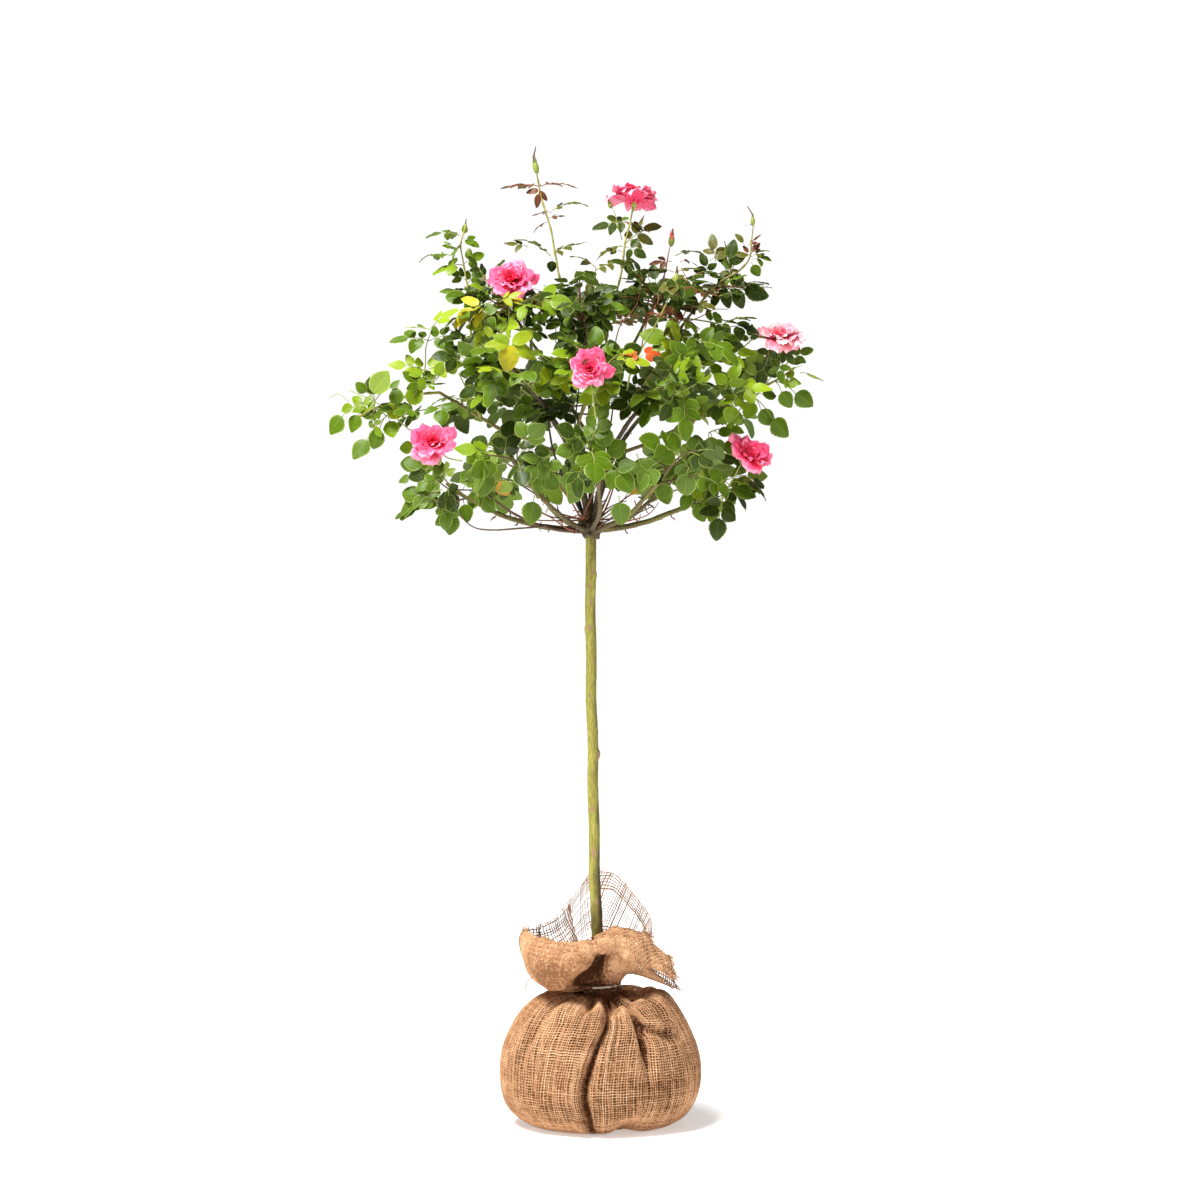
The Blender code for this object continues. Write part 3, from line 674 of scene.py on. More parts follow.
def add_bark_tube(heap, path, radii, sides, age, relief, cell=(0.0035, 0.022), swell=None, scar=None):
    """A tube whose radius varies by noise that is narrow round the limb and long along it."""
    rings = tube_rings(path, radii, sides)
    middle = path[:, None]
    turns = round_turns(sides)
    wide = np.stack(np.broadcast_arrays(
        np.cos(turns)[None] * radii[:, None] / cell[0],
        np.sin(turns)[None] * radii[:, None] / cell[0],
        walked(path)[:, None] / cell[1],
    ), -1)
    rough = lattice_noise(wide, 1.0, 7) + 0.5 * lattice_noise(wide, 0.37, 8)
    out = unit(rings - middle)
    rings = rings + out * (relief * rough + (0 if swell is None else swell))[..., None]
    patches = lattice_noise(wide, 1.9, 9)
    aged_and_shaded = np.clip(age + 0.35 * patches, 0, 1)
    heap.add(rings, grid_faces(len(path), sides, closed=True), 0, age=aged_and_shaded.ravel(),
             scar=np.zeros(rings.shape[:2]).ravel() if scar is None else scar.ravel())


def add_stem(heap):
    """The stem: diameter by height, knots that stand out on one side, and scars with a raised rim."""
    rows, sides = 340, 60
    lean, diameter = np.array(STEM_LEAN), np.array(STEM_DIAMETER)
    height = np.linspace(lean[0, 0], lean[-1, 0], rows)
    path = np.column_stack((np.interp(height, *lean.T), np.zeros(rows), height))
    path[:, 0] += 0.0006 * np.sin(height * 47) * np.sin(math.pi * (height - 0.186) / 0.7)
    radii = np.interp(height, *diameter.T) / 2
    # tube_rings measures its turns from the path's own axes, so the directions are read back from it.
    ring = tube_rings(path, radii, sides)[rows // 2] - path[rows // 2]
    turns = np.arctan2(ring[:, 1], ring[:, 0])[None]
    level = height[:, None]
    swell = np.zeros((rows, sides))
    for place, degrees, proud, half in STEM_KNOTS:
        facing = np.cos(turns - math.radians(degrees)).clip(0) ** 3
        swell += proud * facing * (1 - ((level - place) / half) ** 2).clip(0) ** 1.5
    scar = np.zeros((rows, sides))
    for place, degrees, half, spread in STEM_SCARS:
        off = np.degrees(np.angle(np.exp(1j * (turns - math.radians(degrees)))))
        away = np.sqrt(((level - place) / half) ** 2 + (off / spread) ** 2)
        away = away + 0.12 * np.sin(5 * np.arctan2(level - place, off * half / spread))
        scar = np.maximum(scar, (1.35 - away).clip(0, 1) ** 0.7)
        swell += 0.00035 * bell(away - 1, 0.22) - 0.0003 * (1 - away).clip(0)
    for ridge in STEM_RINGS:
        swell += 0.0004 * bell(level - ridge - 0.002 * np.sin(turns + ridge * 90), 0.0015)
    # Browner towards the stem's right side: partly greener bark on its sunny left, partly painted shade on
    # the side away from the key light.
    age = np.interp(level, *zip(*STEM_AGE)) + 0.42 * np.cos(turns - 0.35)
    relief = np.interp(level, *zip(*STEM_RELIEF))
    add_bark_tube(heap, path, radii, sides, age, relief, (0.0030, 0.016), swell, scar)
    foot = ring_cap(path[0], heap.points[-1].reshape(rows, sides, 3)[0])
    heap.add(*foot, 0, age=1.0, scar=0.0)


def ring_cap(middle, ring):
    """A fan that closes a ring, as points and triangles."""
    points = np.concatenate((middle[None], ring))
    spots = np.arange(len(ring))
    return points, np.column_stack((np.zeros_like(spots), 1 + np.roll(spots, -1), 1 + spots))


def add_union(heap):
    """The graft union: an egg whose radius is raised by noise at three sizes."""
    rows, sides = 56, 72
    rise = (np.linspace(-1, 1, rows) * math.pi / 2)[:, None]
    turns = round_turns(sides)
    flat = np.cos(rise)
    out = np.stack(np.broadcast_arrays(flat * np.cos(turns), flat * np.sin(turns), np.sin(rise)), -1)
    rough = 0.15 * lattice_noise(out, 0.55, 3) + 0.15 * lattice_noise(out, 0.26, 4)
    rough += 0.06 * lattice_noise(out, 0.12, 5)
    points = UNION_MIDDLE + UNION_HALF * out * (0.95 + rough)[..., None]
    age = 1.0 + 0.2 * lattice_noise(out, 0.4, 6)
    scar = np.clip(lattice_noise(out, 0.3, 12) * 2 - 1.1, 0, 0.5)
    heap.add(points, grid_faces(rows, sides, closed=True), 0, age=age.clip(0, 1).ravel(), scar=scar.ravel())


def make_bark():
    """Stem, union and every limb as one mesh with the relief of the bark."""
    heap = Heap()
    add_stem(heap)
    add_union(heap)
    for name, (parent, _, _, thick, thin, _) in LIMBS.items():
        path = limb_path(name)
        if name in COURSES:
            thick, thin = COURSES[name][:2]
        reach = np.linspace(0, 1, LIMB_POINTS)
        radii = (thick + (thin - thick) * reach) / 2
        metres = reach * np.linalg.norm(np.diff(path, axis=0), axis=1).sum()
        swell, fades = (0.0022, 0.010) if parent == "union" else (0.0006, 0.006)
        flare = swell * np.exp(-metres / fades)
        nodes = 0.0005 * bell((metres % 0.037) - 0.018, 0.0035)
        shoot = name.startswith(("shoot", "arm"))
        brown = BROWN_BOUGHS.get(name, SHOOT_BROWN if shoot else BOUGH_BROWN)
        age = brown * (1 - BROWN_FADE * reach[:, None])
        relief = 0.00008 if shoot else 0.00025
        add_bark_tube(heap, path, radii, LIMB_SIDES, age, relief, swell=(flare + nodes)[:, None])
    heap.piece("bark", [bark_material()], "green_bark", ("stem", "graft_union", *LIMBS))


# ---- Growth: twigs and leaves of each mass ----

GROWN = {  # twigs of each mass; those of shoots and arms with listed points carry fewer
    "low": 5, "mid": 7, "high": 8, "low_front": 4, "low_front_left": 4, "low_front_right": 4, "top": 1,
    "tall_shoot": 0, "left_shoot": 1, "right_shoot": 0, "left_arm": 1, "right_arm": 1, "high_right": 3,
    "high_front_right": 7, "high_left": 9, "high_back": 8, "mid_left": 3, "mid_right": 3, "low_left": 4,
    "mid_front_right": 6, "mid_front_left": 6,
}
TWIG_POINTS = 9
NODES_ON_TWIG = {  # points of a twig that bear a leaf, by band, from the tip down
    "low": (8, 6, 4), "mid": (8, 7, 5, 3), "high": (8, 6, 4, 3), "side": (8, 6, 4), "core": (8, 7, 5, 3),
}
LEAF_SIZES = {  # least and greatest length of a tip leaflet
    "low": (0.022, 0.036), "mid": (0.021, 0.035), "high": (0.019, 0.031), "side": (0.018, 0.028),
    "core": (0.022, 0.034),
}
LEAF_BREADTH = {"low": 1.16, "mid": 0.98, "high": 0.84, "side": 0.92, "core": 0.98}
LEAF_SAG = {"low": -0.45, "mid": -0.35, "high": 0.0, "side": 0.0, "core": -0.35}
FORK_HALF, FORK_TOP = 0.150, 0.978  # the fork is open to this width, up to this height
TONE_DEALS = {  # by height band: tones and how often each is dealt
    "low": (("low", 0.34), ("mid", 0.28), ("fresh", 0.08), ("deep", 0.22), ("pale", 0.08)),
    "mid": (("mid", 0.32), ("deep", 0.34), ("fresh", 0.16), ("low", 0.08), ("light", 0.06), ("lime", 0.04)),
    "high": (("deep", 0.40), ("mid", 0.20), ("olive", 0.26), ("bronze", 0.14)),
    "side": (("fresh", 0.30), ("low", 0.25), ("mid", 0.45)),
    # the core deal, mostly deep, is painted shade inside the crown
    "core": (("deep", 0.72), ("mid", 0.22), ("olive", 0.06)),
}
CORE_REACH = 0.115  # from the axis, within which leaves are dealt dark tints as painted shade inside the crown
HIGH_BAND, MID_BAND = 1.17, 1.04


def height_band(name):
    """Low, mid or high, by the middle of the mass."""
    level = MASSES[name][2]
    return "high" if level > HIGH_BAND else "mid" if level > MID_BAND else "low"


def band_of(name):
    """The band whose habit a mass follows: shoots and arms at the sides have their own."""
    return "side" if name in ("left_shoot", "left_arm", "right_arm") else height_band(name)


def deal_tones(band, count, random):
    """Numbers of tints, dealt as often as the band says."""
    names, shares = zip(*TONE_DEALS[band])
    return tones_of(random.choice(names, count, p=np.array(shares) / sum(shares)))


def spread_over_ball(count, random):
    """Directions spread evenly over a ball by the golden angle."""
    rise = 1 - 2 * (np.arange(count) + 0.5) / count
    turn = np.arange(count) * GOLDEN + random.uniform(0, 6.3)
    flat = np.sqrt(1 - rise**2)
    return np.column_stack((flat * np.cos(turn), flat * np.sin(turn), rise))


def blade_facing(spots, random):
    """Where blades turn their upper side: out from the plant's axis and to the front or back, and up, the
    more so the higher they stand."""
    away = (spots - UNION_MIDDLE) * (1, 1, 0)
    side = np.where(spots[:, 1] < 0.03, -1.0, 1.0)
    flat = unit(away) * (0.55, 0.45, 0) + np.column_stack((0 * side, 0.75 * side, 0 * side))
    toward = np.interp(spots[:, 2], (0.95, 1.08, 1.28), (0.80, 0.60, 0.32))[:, None]
    return unit(toward * unit(flat) + (1 - toward) * UP + random.normal(0, 0.32, spots.shape))


def grow_mass(name, leaves, twig_heap, random):
    """Twigs leave the limb's tail for points spread through the mass; leaves stand along each twig, and lie
    like tiles, square to the way that they face."""
    low, high = (np.array(corner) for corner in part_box("foliage_" + name))
    middle, half = (low + high) / 2, (high - low) / 2
    band = band_of(name)
    twigs = GROWN.get(name, GROWN.get(name.split("_")[0]))
    if not twigs:
        return
    tail = limb_path(next(limb for limb, row in LIMBS.items() if row[2] == name))
    outward = unit(spread_over_ball(twigs, random) + random.normal(0, 0.2, (twigs, 3)))
    keep = np.maximum(half - 0.030, 0.3 * half)
    ends = middle + outward * keep * random.uniform(0.8, 1.1, (twigs, 1))
    fork = np.abs(ends[:, 0] - UNION_MIDDLE[0]) < FORK_HALF
    lifted = np.maximum(ends[:, 2], FORK_TOP + 0.25 * (ends[:, 2] - middle[2]))
    ends[:, 2] = np.where(fork, lifted, ends[:, 2])
    starts = tail[(LIMB_POINTS - 1 - random.uniform(0, 0.30, twigs) * LIMB_POINTS).astype(int)]
    grow_twigs(starts, ends, middle, band, leaves, twig_heap, random)


def grow_twigs(starts, ends, middle, band, leaves, twig_heap, random):
    """Bowed twigs from starts to ends, with a leaf at each of the band's nodes."""
    twigs = len(starts)
    length = np.linalg.norm(ends - starts, axis=1)[:, None]
    bow = length * 0.12 * (random.normal(0, 0.6, (twigs, 3)) + UP * (0.4 if band != "low" else -0.1))
    paths = bowed_path(starts, ends, bow, TWIG_POINTS)
    tone = np.full(twigs, {"low": 1, "mid": 0, "high": 2, "side": 0, "core": 1}[band])
    twig_heap.add_tubes(paths, np.outer(np.ones(twigs), np.linspace(0.0016, 0.0008, TWIG_POINTS)), 5, tone)

    for order, node in enumerate(NODES_ON_TWIG[band]):
        base = paths[:, node]
        direction = unit(paths[:, node] - paths[:, node - 1])
        facing = blade_facing(base, random)
        away = unit(base - middle)
        side = np.cross(direction, facing) * (0 if order == 0 else 1 if order % 2 else -1)
        heading = 0.6 * direction + 0.8 * away + 1.1 * side + UP * LEAF_SAG[band]
        heading = square_to(heading + random.normal(0, 0.25, (twigs, 3)), facing)
        heading = unit(heading + 0.12 * facing)
        # Leaves near the axis above the mid band take the core deal of dark tints: painted shade inside the
        # crown.
        core = (np.hypot(*(base - UNION_MIDDLE).T[:2]) < CORE_REACH) & (base[:, 2] > MID_BAND - 0.02)
        tones = np.where(core, deal_tones("core", twigs, random), deal_tones(band, twigs, random))
        keep = base[:, 2] > np.where(np.abs(base[:, 0] - UNION_MIDDLE[0]) < FORK_HALF, FORK_TOP - 0.012, 0)
        for middle_of_bloom, *_ in BLOOMS:
            off = np.abs(base - middle_of_bloom)
            keep &= (off[:, 0] > 0.040) | (off[:, 2] > 0.038) | (base[:, 1] > middle_of_bloom[1] + 0.020)
        grown = (
            base, heading, facing, random.uniform(*LEAF_SIZES[band], twigs),
            random.choice((3, 5), twigs, p=(0.55, 0.45)), tones, np.full(twigs, LEAF_BREADTH[band]),
        )
        leaves.append([column[keep] for column in grown])


EXTRA_TWIGS = {  # twigs that fill out the upper sides, by limb: share of its length, band, end in mm
    "bough_high_left": (
        (0.95, "mid", (-175, -100, 1196)), (0.8, "mid", (-100, -130, 1212)),
        (0.85, "mid", (-152, -130, 1160)), (0.75, "mid", (-92, -140, 1176)),
        (0.9, "mid", (-205, -60, 1166)), (0.99, "side", (-168, -60, 1236)),
        (0.99, "high", (-82, -90, 1236)),
    ),
    "bough_front_left": (
        (0.95, "mid", (-200, -120, 1130)),
    ),
    "bough_high_right": (
        (0.95, "high", (140, -80, 1214)), (0.99, "high", (176, -60, 1232)),
        (0.99, "high", (104, -100, 1254)), (0.99, "high", (150, -40, 1270)),
        (0.95, "high", (56, -80, 1262)), (0.85, "mid", (190, -60, 1186)), (0.75, "mid", (150, -110, 1160)),
    ),
    "bough_leader": (
        (0.98, "high", (-30, -110, 1262)), (0.55, "core", (-60, -90, 1060)),
        (0.6, "core", (30, -90, 1070)), (0.5, "core", (-90, -60, 1075)), (0.65, "core", (70, -50, 1090)),
    ),
}


def grow_extra(leaves, twig_heap, random):
    """The twigs that are set one by one."""
    for limb, twigs in EXTRA_TWIGS.items():
        path = limb_path(limb)
        for share, band, end in twigs:
            start = path[round(share * (LIMB_POINTS - 1))]
            grow_twigs(start[None], np.array(end)[None] / 1000, start, band, leaves, twig_heap, random)


# ---- Shoots, leaves and leaflets listed one by one ----

SHOOTS = (  # tone, thickness at the foot in metres, then in mm y and (x, z) of points along it
    ("green", 0.0016, -30, ((33, 1319), (27, 1340), (22, 1359), (17, 1368))),
    ("green", 0.0028, -100, ((-132, 1168), (-133, 1193), (-133, 1235), (-130, 1250))),
    ("green", 0.0024, -20, ((-269, 1082), (-261, 1131), (-260, 1158), (-256, 1173), (-252, 1186))),
    ("red", 0.0013, 0, ((190, 1262), (199, 1280), (202.5, 1300))),
    ("green", 0.0032, -100, ((40, 1088), (45, 1117), (64, 1156), (82, 1187), (98, 1219), (108, 1242))),
    ("brown", 0.0028, -80, ((93, 1082), (103, 1114), (112, 1148), (125, 1180), (135, 1210), (138, 1224))),
    ("red", 0.0026, -20, ((82, 1231), (96, 1268), (102, 1298), (105, 1312))),
    ("green", 0.0026, -30, ((206, 1123), (210, 1152), (226, 1170), (247, 1176), (264, 1176))),
    ("green", 0.0024, -30, ((-253, 1033), (-281, 1035), (-311, 1061), (-335, 1078), (-374, 1096))),
    ("green", 0.0026, -30, ((186, 1044), (204, 1063), (237, 1091), (271, 1140))),
    ("green", 0.0024, -100, ((176, 929), (198, 966), (208, 985))),
    ("green", 0.0024, -130, ((-200, 985), (-222, 990), (-236, 1004), (-242, 1012))),
    ("green", 0.0026, -235, ((-6, 1040), (-10, 1070), (-13, 1095), (-13, 1103))),
    ("green", 0.0010, -30, ((-374, 1078), (-389, 1090), (-404, 1084))),
    ("red", 0.0022, -60, ((60, 1150), (70, 1195), (90, 1232), (96, 1262))),
    ("red", 0.002, -70, ((20, 1150), (30, 1188), (52, 1215), (60, 1240))),
    ("red", 0.002, -50, ((110, 1180), (128, 1214), (132, 1248), (120, 1276))),
    ("red", 0.0018, -50, ((124, 1193), (150, 1203), (168, 1213), (190, 1214))),
    ("red", 0.0018, -60, ((-20, 1180), (-12, 1215), (-8, 1250), (-6, 1275))),
    ("red", 0.0016, -60, ((0, 1200), (22, 1226), (40, 1232), (58, 1228))),
    ("green", 0.002, -80, ((-60, 1090), (-56, 1130), (-66, 1170), (-58, 1205))),
    ("green", 0.002, -90, ((100, 1060), (120, 1100), (118, 1140), (132, 1165))),
)
SHOOT_POINTS, CANE_POINTS = 22, 40
CANES = (  # thin boughs that leave the union: tone, thickness in metres, then in mm y at both ends and (x, z)
    ("brown", 0.0058, -10, -60, ((-30, 885), (-70, 890), (-114, 903), (-156, 930), (-190, 962))),
    ("brown", 0.0054, -10, -50, ((0, 890), (30, 903), (68, 924), (92, 942), (118, 975))),
    ("brown", 0.003, -40, -50, ((-80, 893), (-122, 889), (-172, 887), (-193, 895), (-210, 915))),
    ("red", 0.0024, -20, -40, ((30, 899), (47, 902), (72, 909), (88, 928))),
    ("brown", 0.0034, 20, 50, ((-12, 903), (-44, 907), (-73, 909), (-100, 922))),
    ("brown", 0.0032, 20, 50, ((-12, 903), (14, 906), (45, 909), (80, 925))),
    ("red", 0.003, -20, -50, ((-27, 905), (-45, 932), (-65, 961), (-79, 971))),
    ("red", 0.0028, -20, -50, ((-26, 906), (-15, 929), (-7, 949), (8, 969))),
    ("red", 0.0026, -20, -50, ((-3, 891), (12, 902), (30, 916))),
    ("red", 0.0028, -20, -60, ((-35, 888), (-48, 890), (-77, 907), (-98, 916))),
    ("dark", 0.0052, 0, -30, ((-22, 905), (-40, 938), (-56, 968), (-72, 1010), (-80, 1060))),
    ("dark", 0.005, 10, 30, ((-20, 905), (-14, 935), (-4, 975), (10, 1020), (20, 1070))),
    ("dark", 0.0044, 10, 20, ((-24, 905), (-34, 945), (-40, 990), (-38, 1040), (-30, 1120))),
)

# x, y, z in mm, angle seen from the front, leaflet length in mm, leaflets, facing (0 up, 1 forward), tone
HAND_LEAVES = (
    (-89, -40, 1397, 188, 29, 5, 0.15, "bronze"), (-88, -40, 1398, -4, 27, 5, 0.15, "bronze"),
    (-88, -50, 1400, 262, 22, 3, 0.95, "bronze"), (-71, -40, 1362, 8, 27, 5, 0.2, "olive"),
    (-71, -40, 1359, 195, 19, 3, 0.3, "bronze"), (-76, -40, 1345, 214, 17, 3, 0.3, "bronze"),
    (-76, -35, 1351, 5, 15, 3, 0.2, "bronze"), (-73, -40, 1294, 152, 30, 5, 0.2, "olive"),
    (-70, -40, 1297, 14, 26, 5, 0.2, "olive"), (-71, -45, 1291, 268, 17, 1, 0.9, "deep"),
    (-107, -40, 1307, 172, 22, 3, 0.3, "olive"), (-208, -10, 1328, 184, 26, 5, 0.15, "fresh"),
    (-207, -10, 1325, -32, 19, 3, 0.5, "mid"), (-204, -10, 1284, 196, 30, 3, 0.4, "fresh"),
    (-204, -10, 1286, 22, 21, 3, 0.8, "fresh"), (-199, -10, 1259, 150, 21, 3, 0.6, "mid"),
    (-199, -10, 1254, 48, 21, 3, 0.4, "mid"), (-199, -10, 1239, 170, 26, 3, 0.5, "mid"),
    (-199, -10, 1244, 8, 21, 3, 0.3, "mid"), (-199, -10, 1230, 165, 19, 1, 0.4, "mid"),
    (-202, -10, 1328, 92, 13, 1, 0.95, "fresh"), (-252, -20, 1186, 176, 24, 3, 0.15, "light"),
    (-252, -20, 1189, 35, 30, 3, 0.4, "light"), (-255, -20, 1170, 186, 29, 5, 0.6, "mid"),
    (-255, -20, 1170, 4, 29, 5, 0.6, "mid"), (-261, -20, 1125, 176, 27, 5, 0.6, "light"),
    (-261, -20, 1125, 4, 29, 5, 0.6, "light"), (-264, -20, 1099, 12, 21, 3, 0.3, "fresh"),
    (-264, -30, 1096, 140, 24, 3, 0.7, "mid"), (36, -30, 1312, 28, 33, 5, 0.6, "olive"),
    (34, -30, 1310, 206, 29, 3, 0.3, "olive"), (37, -40, 1307, -32, 22, 3, 0.85, "deep"),
    (33, -30, 1295, -70, 17, 3, 0.6, "deep"), (33, -20, 1303, 185, 21, 3, 0.2, "olive"),
    (-6, -50, 1275, 150, 26, 3, 0.3, "olive"), (-6, -50, 1272, 10, 27, 5, 0.3, "olive"),
    (-6, -50, 1269, 250, 22, 3, 0.5, "olive"), (112, -20, 1297, 5, 30, 3, 0.2, "olive"),
    (107, -20, 1288, 190, 21, 3, 0.4, "bronze"), (110, -30, 1271, 175, 27, 3, 0.3, "olive"),
    (112, -30, 1271, 2, 29, 3, 0.3, "olive"), (119, -20, 1288, -10, 18, 3, 0.2, "bronze"),
    (174, 0, 1290, 100, 27, 3, 0.6, "olive"), (163, -10, 1268, 110, 22, 3, 0.9, "deep"),
    (189, 0, 1275, 75, 30, 3, 0.8, "deep"), (183, -10, 1257, 250, 24, 3, 0.7, "deep"),
    (217, 0, 1314, 122, 20, 1, 0.8, "olive"), (226, 0, 1290, -62, 20, 1, 0.9, "mid"),
    (228, 0, 1293, 2, 19, 3, 0.3, "mid"), (228, 0, 1298, 22, 17, 3, 0.3, "olive"),
    (222, 0, 1314, 40, 15, 3, 0.4, "bronze"), (200, 0, 1290, 60, 12, 3, 0.4, "bronze"),
    (171, -10, 1245, -10, 41, 5, 0.8, "deep"), (145, -20, 1241, 2, 22, 3, 0.2, "scarlet"),
    (217, 0, 1344, 10, 13, 1, 0.2, "bronze"), (100, -90, 1197, 170, 21, 3, 0.4, "bronze"),
    (100, -90, 1194, -8, 22, 3, 0.3, "bronze"), (98, -90, 1191, -70, 19, 3, 0.5, "olive"),
    (222, -30, 1163, 85, 19, 3, 0.2, "deep"), (211, -30, 1161, 160, 15, 3, 0.4, "mid"),
    (253, -40, 1160, -100, 21, 3, 0.8, "deep"), (270, -40, 1157, -60, 19, 3, 0.8, "deep"),
    (250, -40, 1143, -105, 29, 3, 0.9, "deep"), (263, -40, 1137, -80, 21, 3, 0.9, "mid"),
    (239, -20, 1138, -120, 30, 3, 0.7, "pale"), (136, -50, 1165, 8, 45, 3, 0.35, "fresh"),
    (124, -70, 1158, 168, 41, 3, 0.6, "fresh"), (175, -40, 1160, -5, 24, 3, 0.8, "deep"),
    (157, -50, 1154, -12, 29, 1, 0.4, "bronze"), (170, -60, 1136, 176, 30, 5, 0.5, "light"),
    (172, -60, 1136, 8, 30, 5, 0.5, "light"), (136, -100, 1088, 85, 32, 3, 0.8, "fresh"),
    (183, -70, 1090, 60, 29, 3, 0.5, "fresh"), (201, -70, 1088, 5, 33, 3, 0.5, "light"),
    (283, -30, 1126, 18, 15, 1, 0.1, "light"), (270, -30, 1114, -20, 19, 3, 0.5, "light"),
    (298, -30, 1121, -12, 30, 1, 0.05, "pale"), (-158, -110, 1218, 215, 41, 3, 0.6, "yellow"),
    (-155, -110, 1221, -8, 33, 3, 0.3, "yellow"), (-179, -100, 1205, 200, 27, 3, 0.4, "lime"),
    (-146, -120, 1217, 20, 21, 3, 0.6, "lime"), (-162, -120, 1194, 250, 30, 3, 0.7, "lime"),
    (226, 0, 1300, 58, 20, 1, 0.5, "bronze"), (223, 0, 1300, 112, 15, 1, 0.6, "bronze"),
    (228, 0, 1298, 168, 22, 1, 0.4, "olive"), (202.5, 0, 1296, 95, 13, 1, 0.5, "bronze"),
    (165, 0, 1292, 25, 26, 1, 0.7, "olive"), (-97, -100, 1222, -15, 36, 3, 0.7, "fresh"),
    (-90, -140, 1134, -48, 45, 3, 0.6, "lime"), (-153, -130, 1117, -100, 30, 3, 0.8, "fresh"),
    (-94, -170, 934, 262, 34, 1, 0.95, "low"), (-32, -190, 968, 250, 27, 1, 0.9, "low"),
    (27, -190, 932, 275, 34, 1, 0.95, "low"), (84, -170, 957, 290, 31, 1, 0.9, "low"),
    (60, -100, 962, 240, 24, 1, 0.8, "dead"), (-105, -100, 972, 285, 19, 1, 0.7, "dead"),
    (-75, -180, 990, 235, 34, 3, 0.9, "low"), (-162, -150, 978, 262, 38, 1, 0.95, "low"),
    (128, -160, 975, 262, 36, 1, 0.95, "low"), (52, -200, 992, 285, 32, 3, 0.9, "mid"),
    (-10, -210, 1000, 262, 34, 3, 0.9, "deep"), (-122, -170, 955, 220, 22, 1, 0.9, "pale"),
    (59, -160, 1134, 176, 17, 3, 0.3, "scarlet"), (58, -160, 1134, 8, 19, 3, 0.4, "scarlet"),
)

# Sprays of the left side: the point that their stalks leave, then each leaflet's middle and length, all
# in millimetres from the union as seen from the front, and its tone.
SIDE_SPRAYS = (
    ((-337, 184), ((-380, 152, 32, "mid"), (-352, 154, 27, "mid"), (-363, 176, 18, "fresh"))),
    ((-304, 164), ((-321, 131, 30, "mid"), (-340, 114, 34, "mid"), (-297, 146, 27, "fresh"),
                   (-330, 167, 24, "mid"))),
    ((-322, 186), ((-340, 206, 20, "mid"), (-324, 211, 30, "deep"), (-312, 213, 38, "pale"),
                   (-292, 212, 18, "mid"))),
    ((-280, 160), ((-291, 174, 30, "lime"), (-289, 194, 27, "mid"), (-262, 195, 30, "fresh"),
                   (-253, 212, 20, "fresh"))),
    ((-235, 213), ((-262, 233, 27, "fresh"), (-242, 228, 24, "fresh"), (-225, 233, 24, "fresh"),
                   (-207, 237, 18, "light"))),
    ((-226, 52), ((-274, 27, 38, "low"), (-242, 59, 38, "low"), (-211, 34, 38, "deep"),
                  (-238, 38, 24, "mid"))),
    ((-238, 86), ((-257, 76, 26, "deep"), (-279, 72, 18, "low"), (-264, 94, 27, "mid"))),
    ((-193, 40), ((-207, 3, 30, "mid"), (-185, 20, 26, "mid"), (-225, 9, 21, "low"))),
    ((-145, 74), ((-161, 76, 42, "low"), (-155, 42, 33, "mid"), (-129, 57, 24, "dead"))),
    ((-232, 118), ((-244, 94, 30, "mid"), (-229, 99, 21, "deep"), (-276, 119, 21, "fresh"),
                   (-256, 117, 21, "mid"))),
)
SPRAY_MIRROR = -0.0345  # x that the right side is mirrored about
SPRAY_TURN = math.radians(6.6)  # and how far it is then turned up about the union
SPRAY_DEPTH = -0.03  # y of the sprays
STAR_MIDDLE = np.array((-0.129, -0.160, 1.153))
STAR_LEAFLETS = (  # angle seen from the front, length, breadth, tone
    (262, 0.040, 1.02, "yellow"), (184, 0.037, 0.72, "lime"), (26, 0.037, 0.74, "lime"),
    (-27, 0.042, 0.70, "lime"), (150, 0.027, 0.75, "fresh"),
)


def add_side_sprays(leaf_heap, stalk_heap, random):
    """Each leaflet hangs on a stalk from its spray's foot; the right side repeats the left, mirrored."""
    rows = [(*foot, *leaflet) for foot, leaflets in SIDE_SPRAYS for leaflet in leaflets]
    tones = tones_of([row[5] for row in rows])
    numbers = np.array([row[:5] for row in rows]) / 1000
    lengths = numbers[:, 4]
    cosine, sine = math.cos(SPRAY_TURN), math.sin(SPRAY_TURN)
    for mirrored in (False, True):
        spots = []
        for x, z in (numbers[:, :2].T, numbers[:, 2:4].T):
            if mirrored:
                x = 2 * (SPRAY_MIRROR - UNION_MIDDLE[0]) - x
                x, z = x * cosine - z * sine, x * sine + z * cosine
            spots.append(np.column_stack((x, 0 * x, z)) + UNION_MIDDLE)
        foot, middle = spots
        foot[:, 1] = SPRAY_DEPTH
        middle[:, 1] = SPRAY_DEPTH + random.normal(0, 0.012, len(foot))
        heading = unit((middle - foot) * (1, 0.4, 1) + random.normal(0, 0.003, foot.shape))
        base = middle - heading * lengths[:, None] * 0.5
        facing = np.array((0, -1, 0)) + 0.45 * UP + random.normal(0, 0.22, foot.shape)
        stalks = bowed_path(foot, base, UP * 0.004 * np.ones_like(foot), 6)
        stalk_heap.add_tubes(stalks, np.outer(np.ones(len(foot)), np.linspace(0.0009, 0.0006, 6)), 4, 0)
        facing = square_to(facing, heading)
        add_leaflets(leaf_heap, base, heading, facing, lengths * 1.05, tones, random, 1.15)


def add_star(leaf_heap):
    """Five leaflets that spread from one point, turned to the front."""
    angles, lengths, breadths, names = zip(*STAR_LEAFLETS)
    turn = np.radians(angles)
    heading = unit(np.column_stack((np.cos(turn), np.full(len(turn), -0.12), np.sin(turn))))
    facing = square_to(np.array((0, -1, 0)) + 0.25 * UP + 0 * heading, heading)
    base = STAR_MIDDLE + 0.002 * heading
    lengths, breadths, tones = np.array(lengths), np.array(breadths), tones_of(names)
    add_leaflets(leaf_heap, base, heading, facing, lengths, tones, np.random.default_rng(6), breadths)


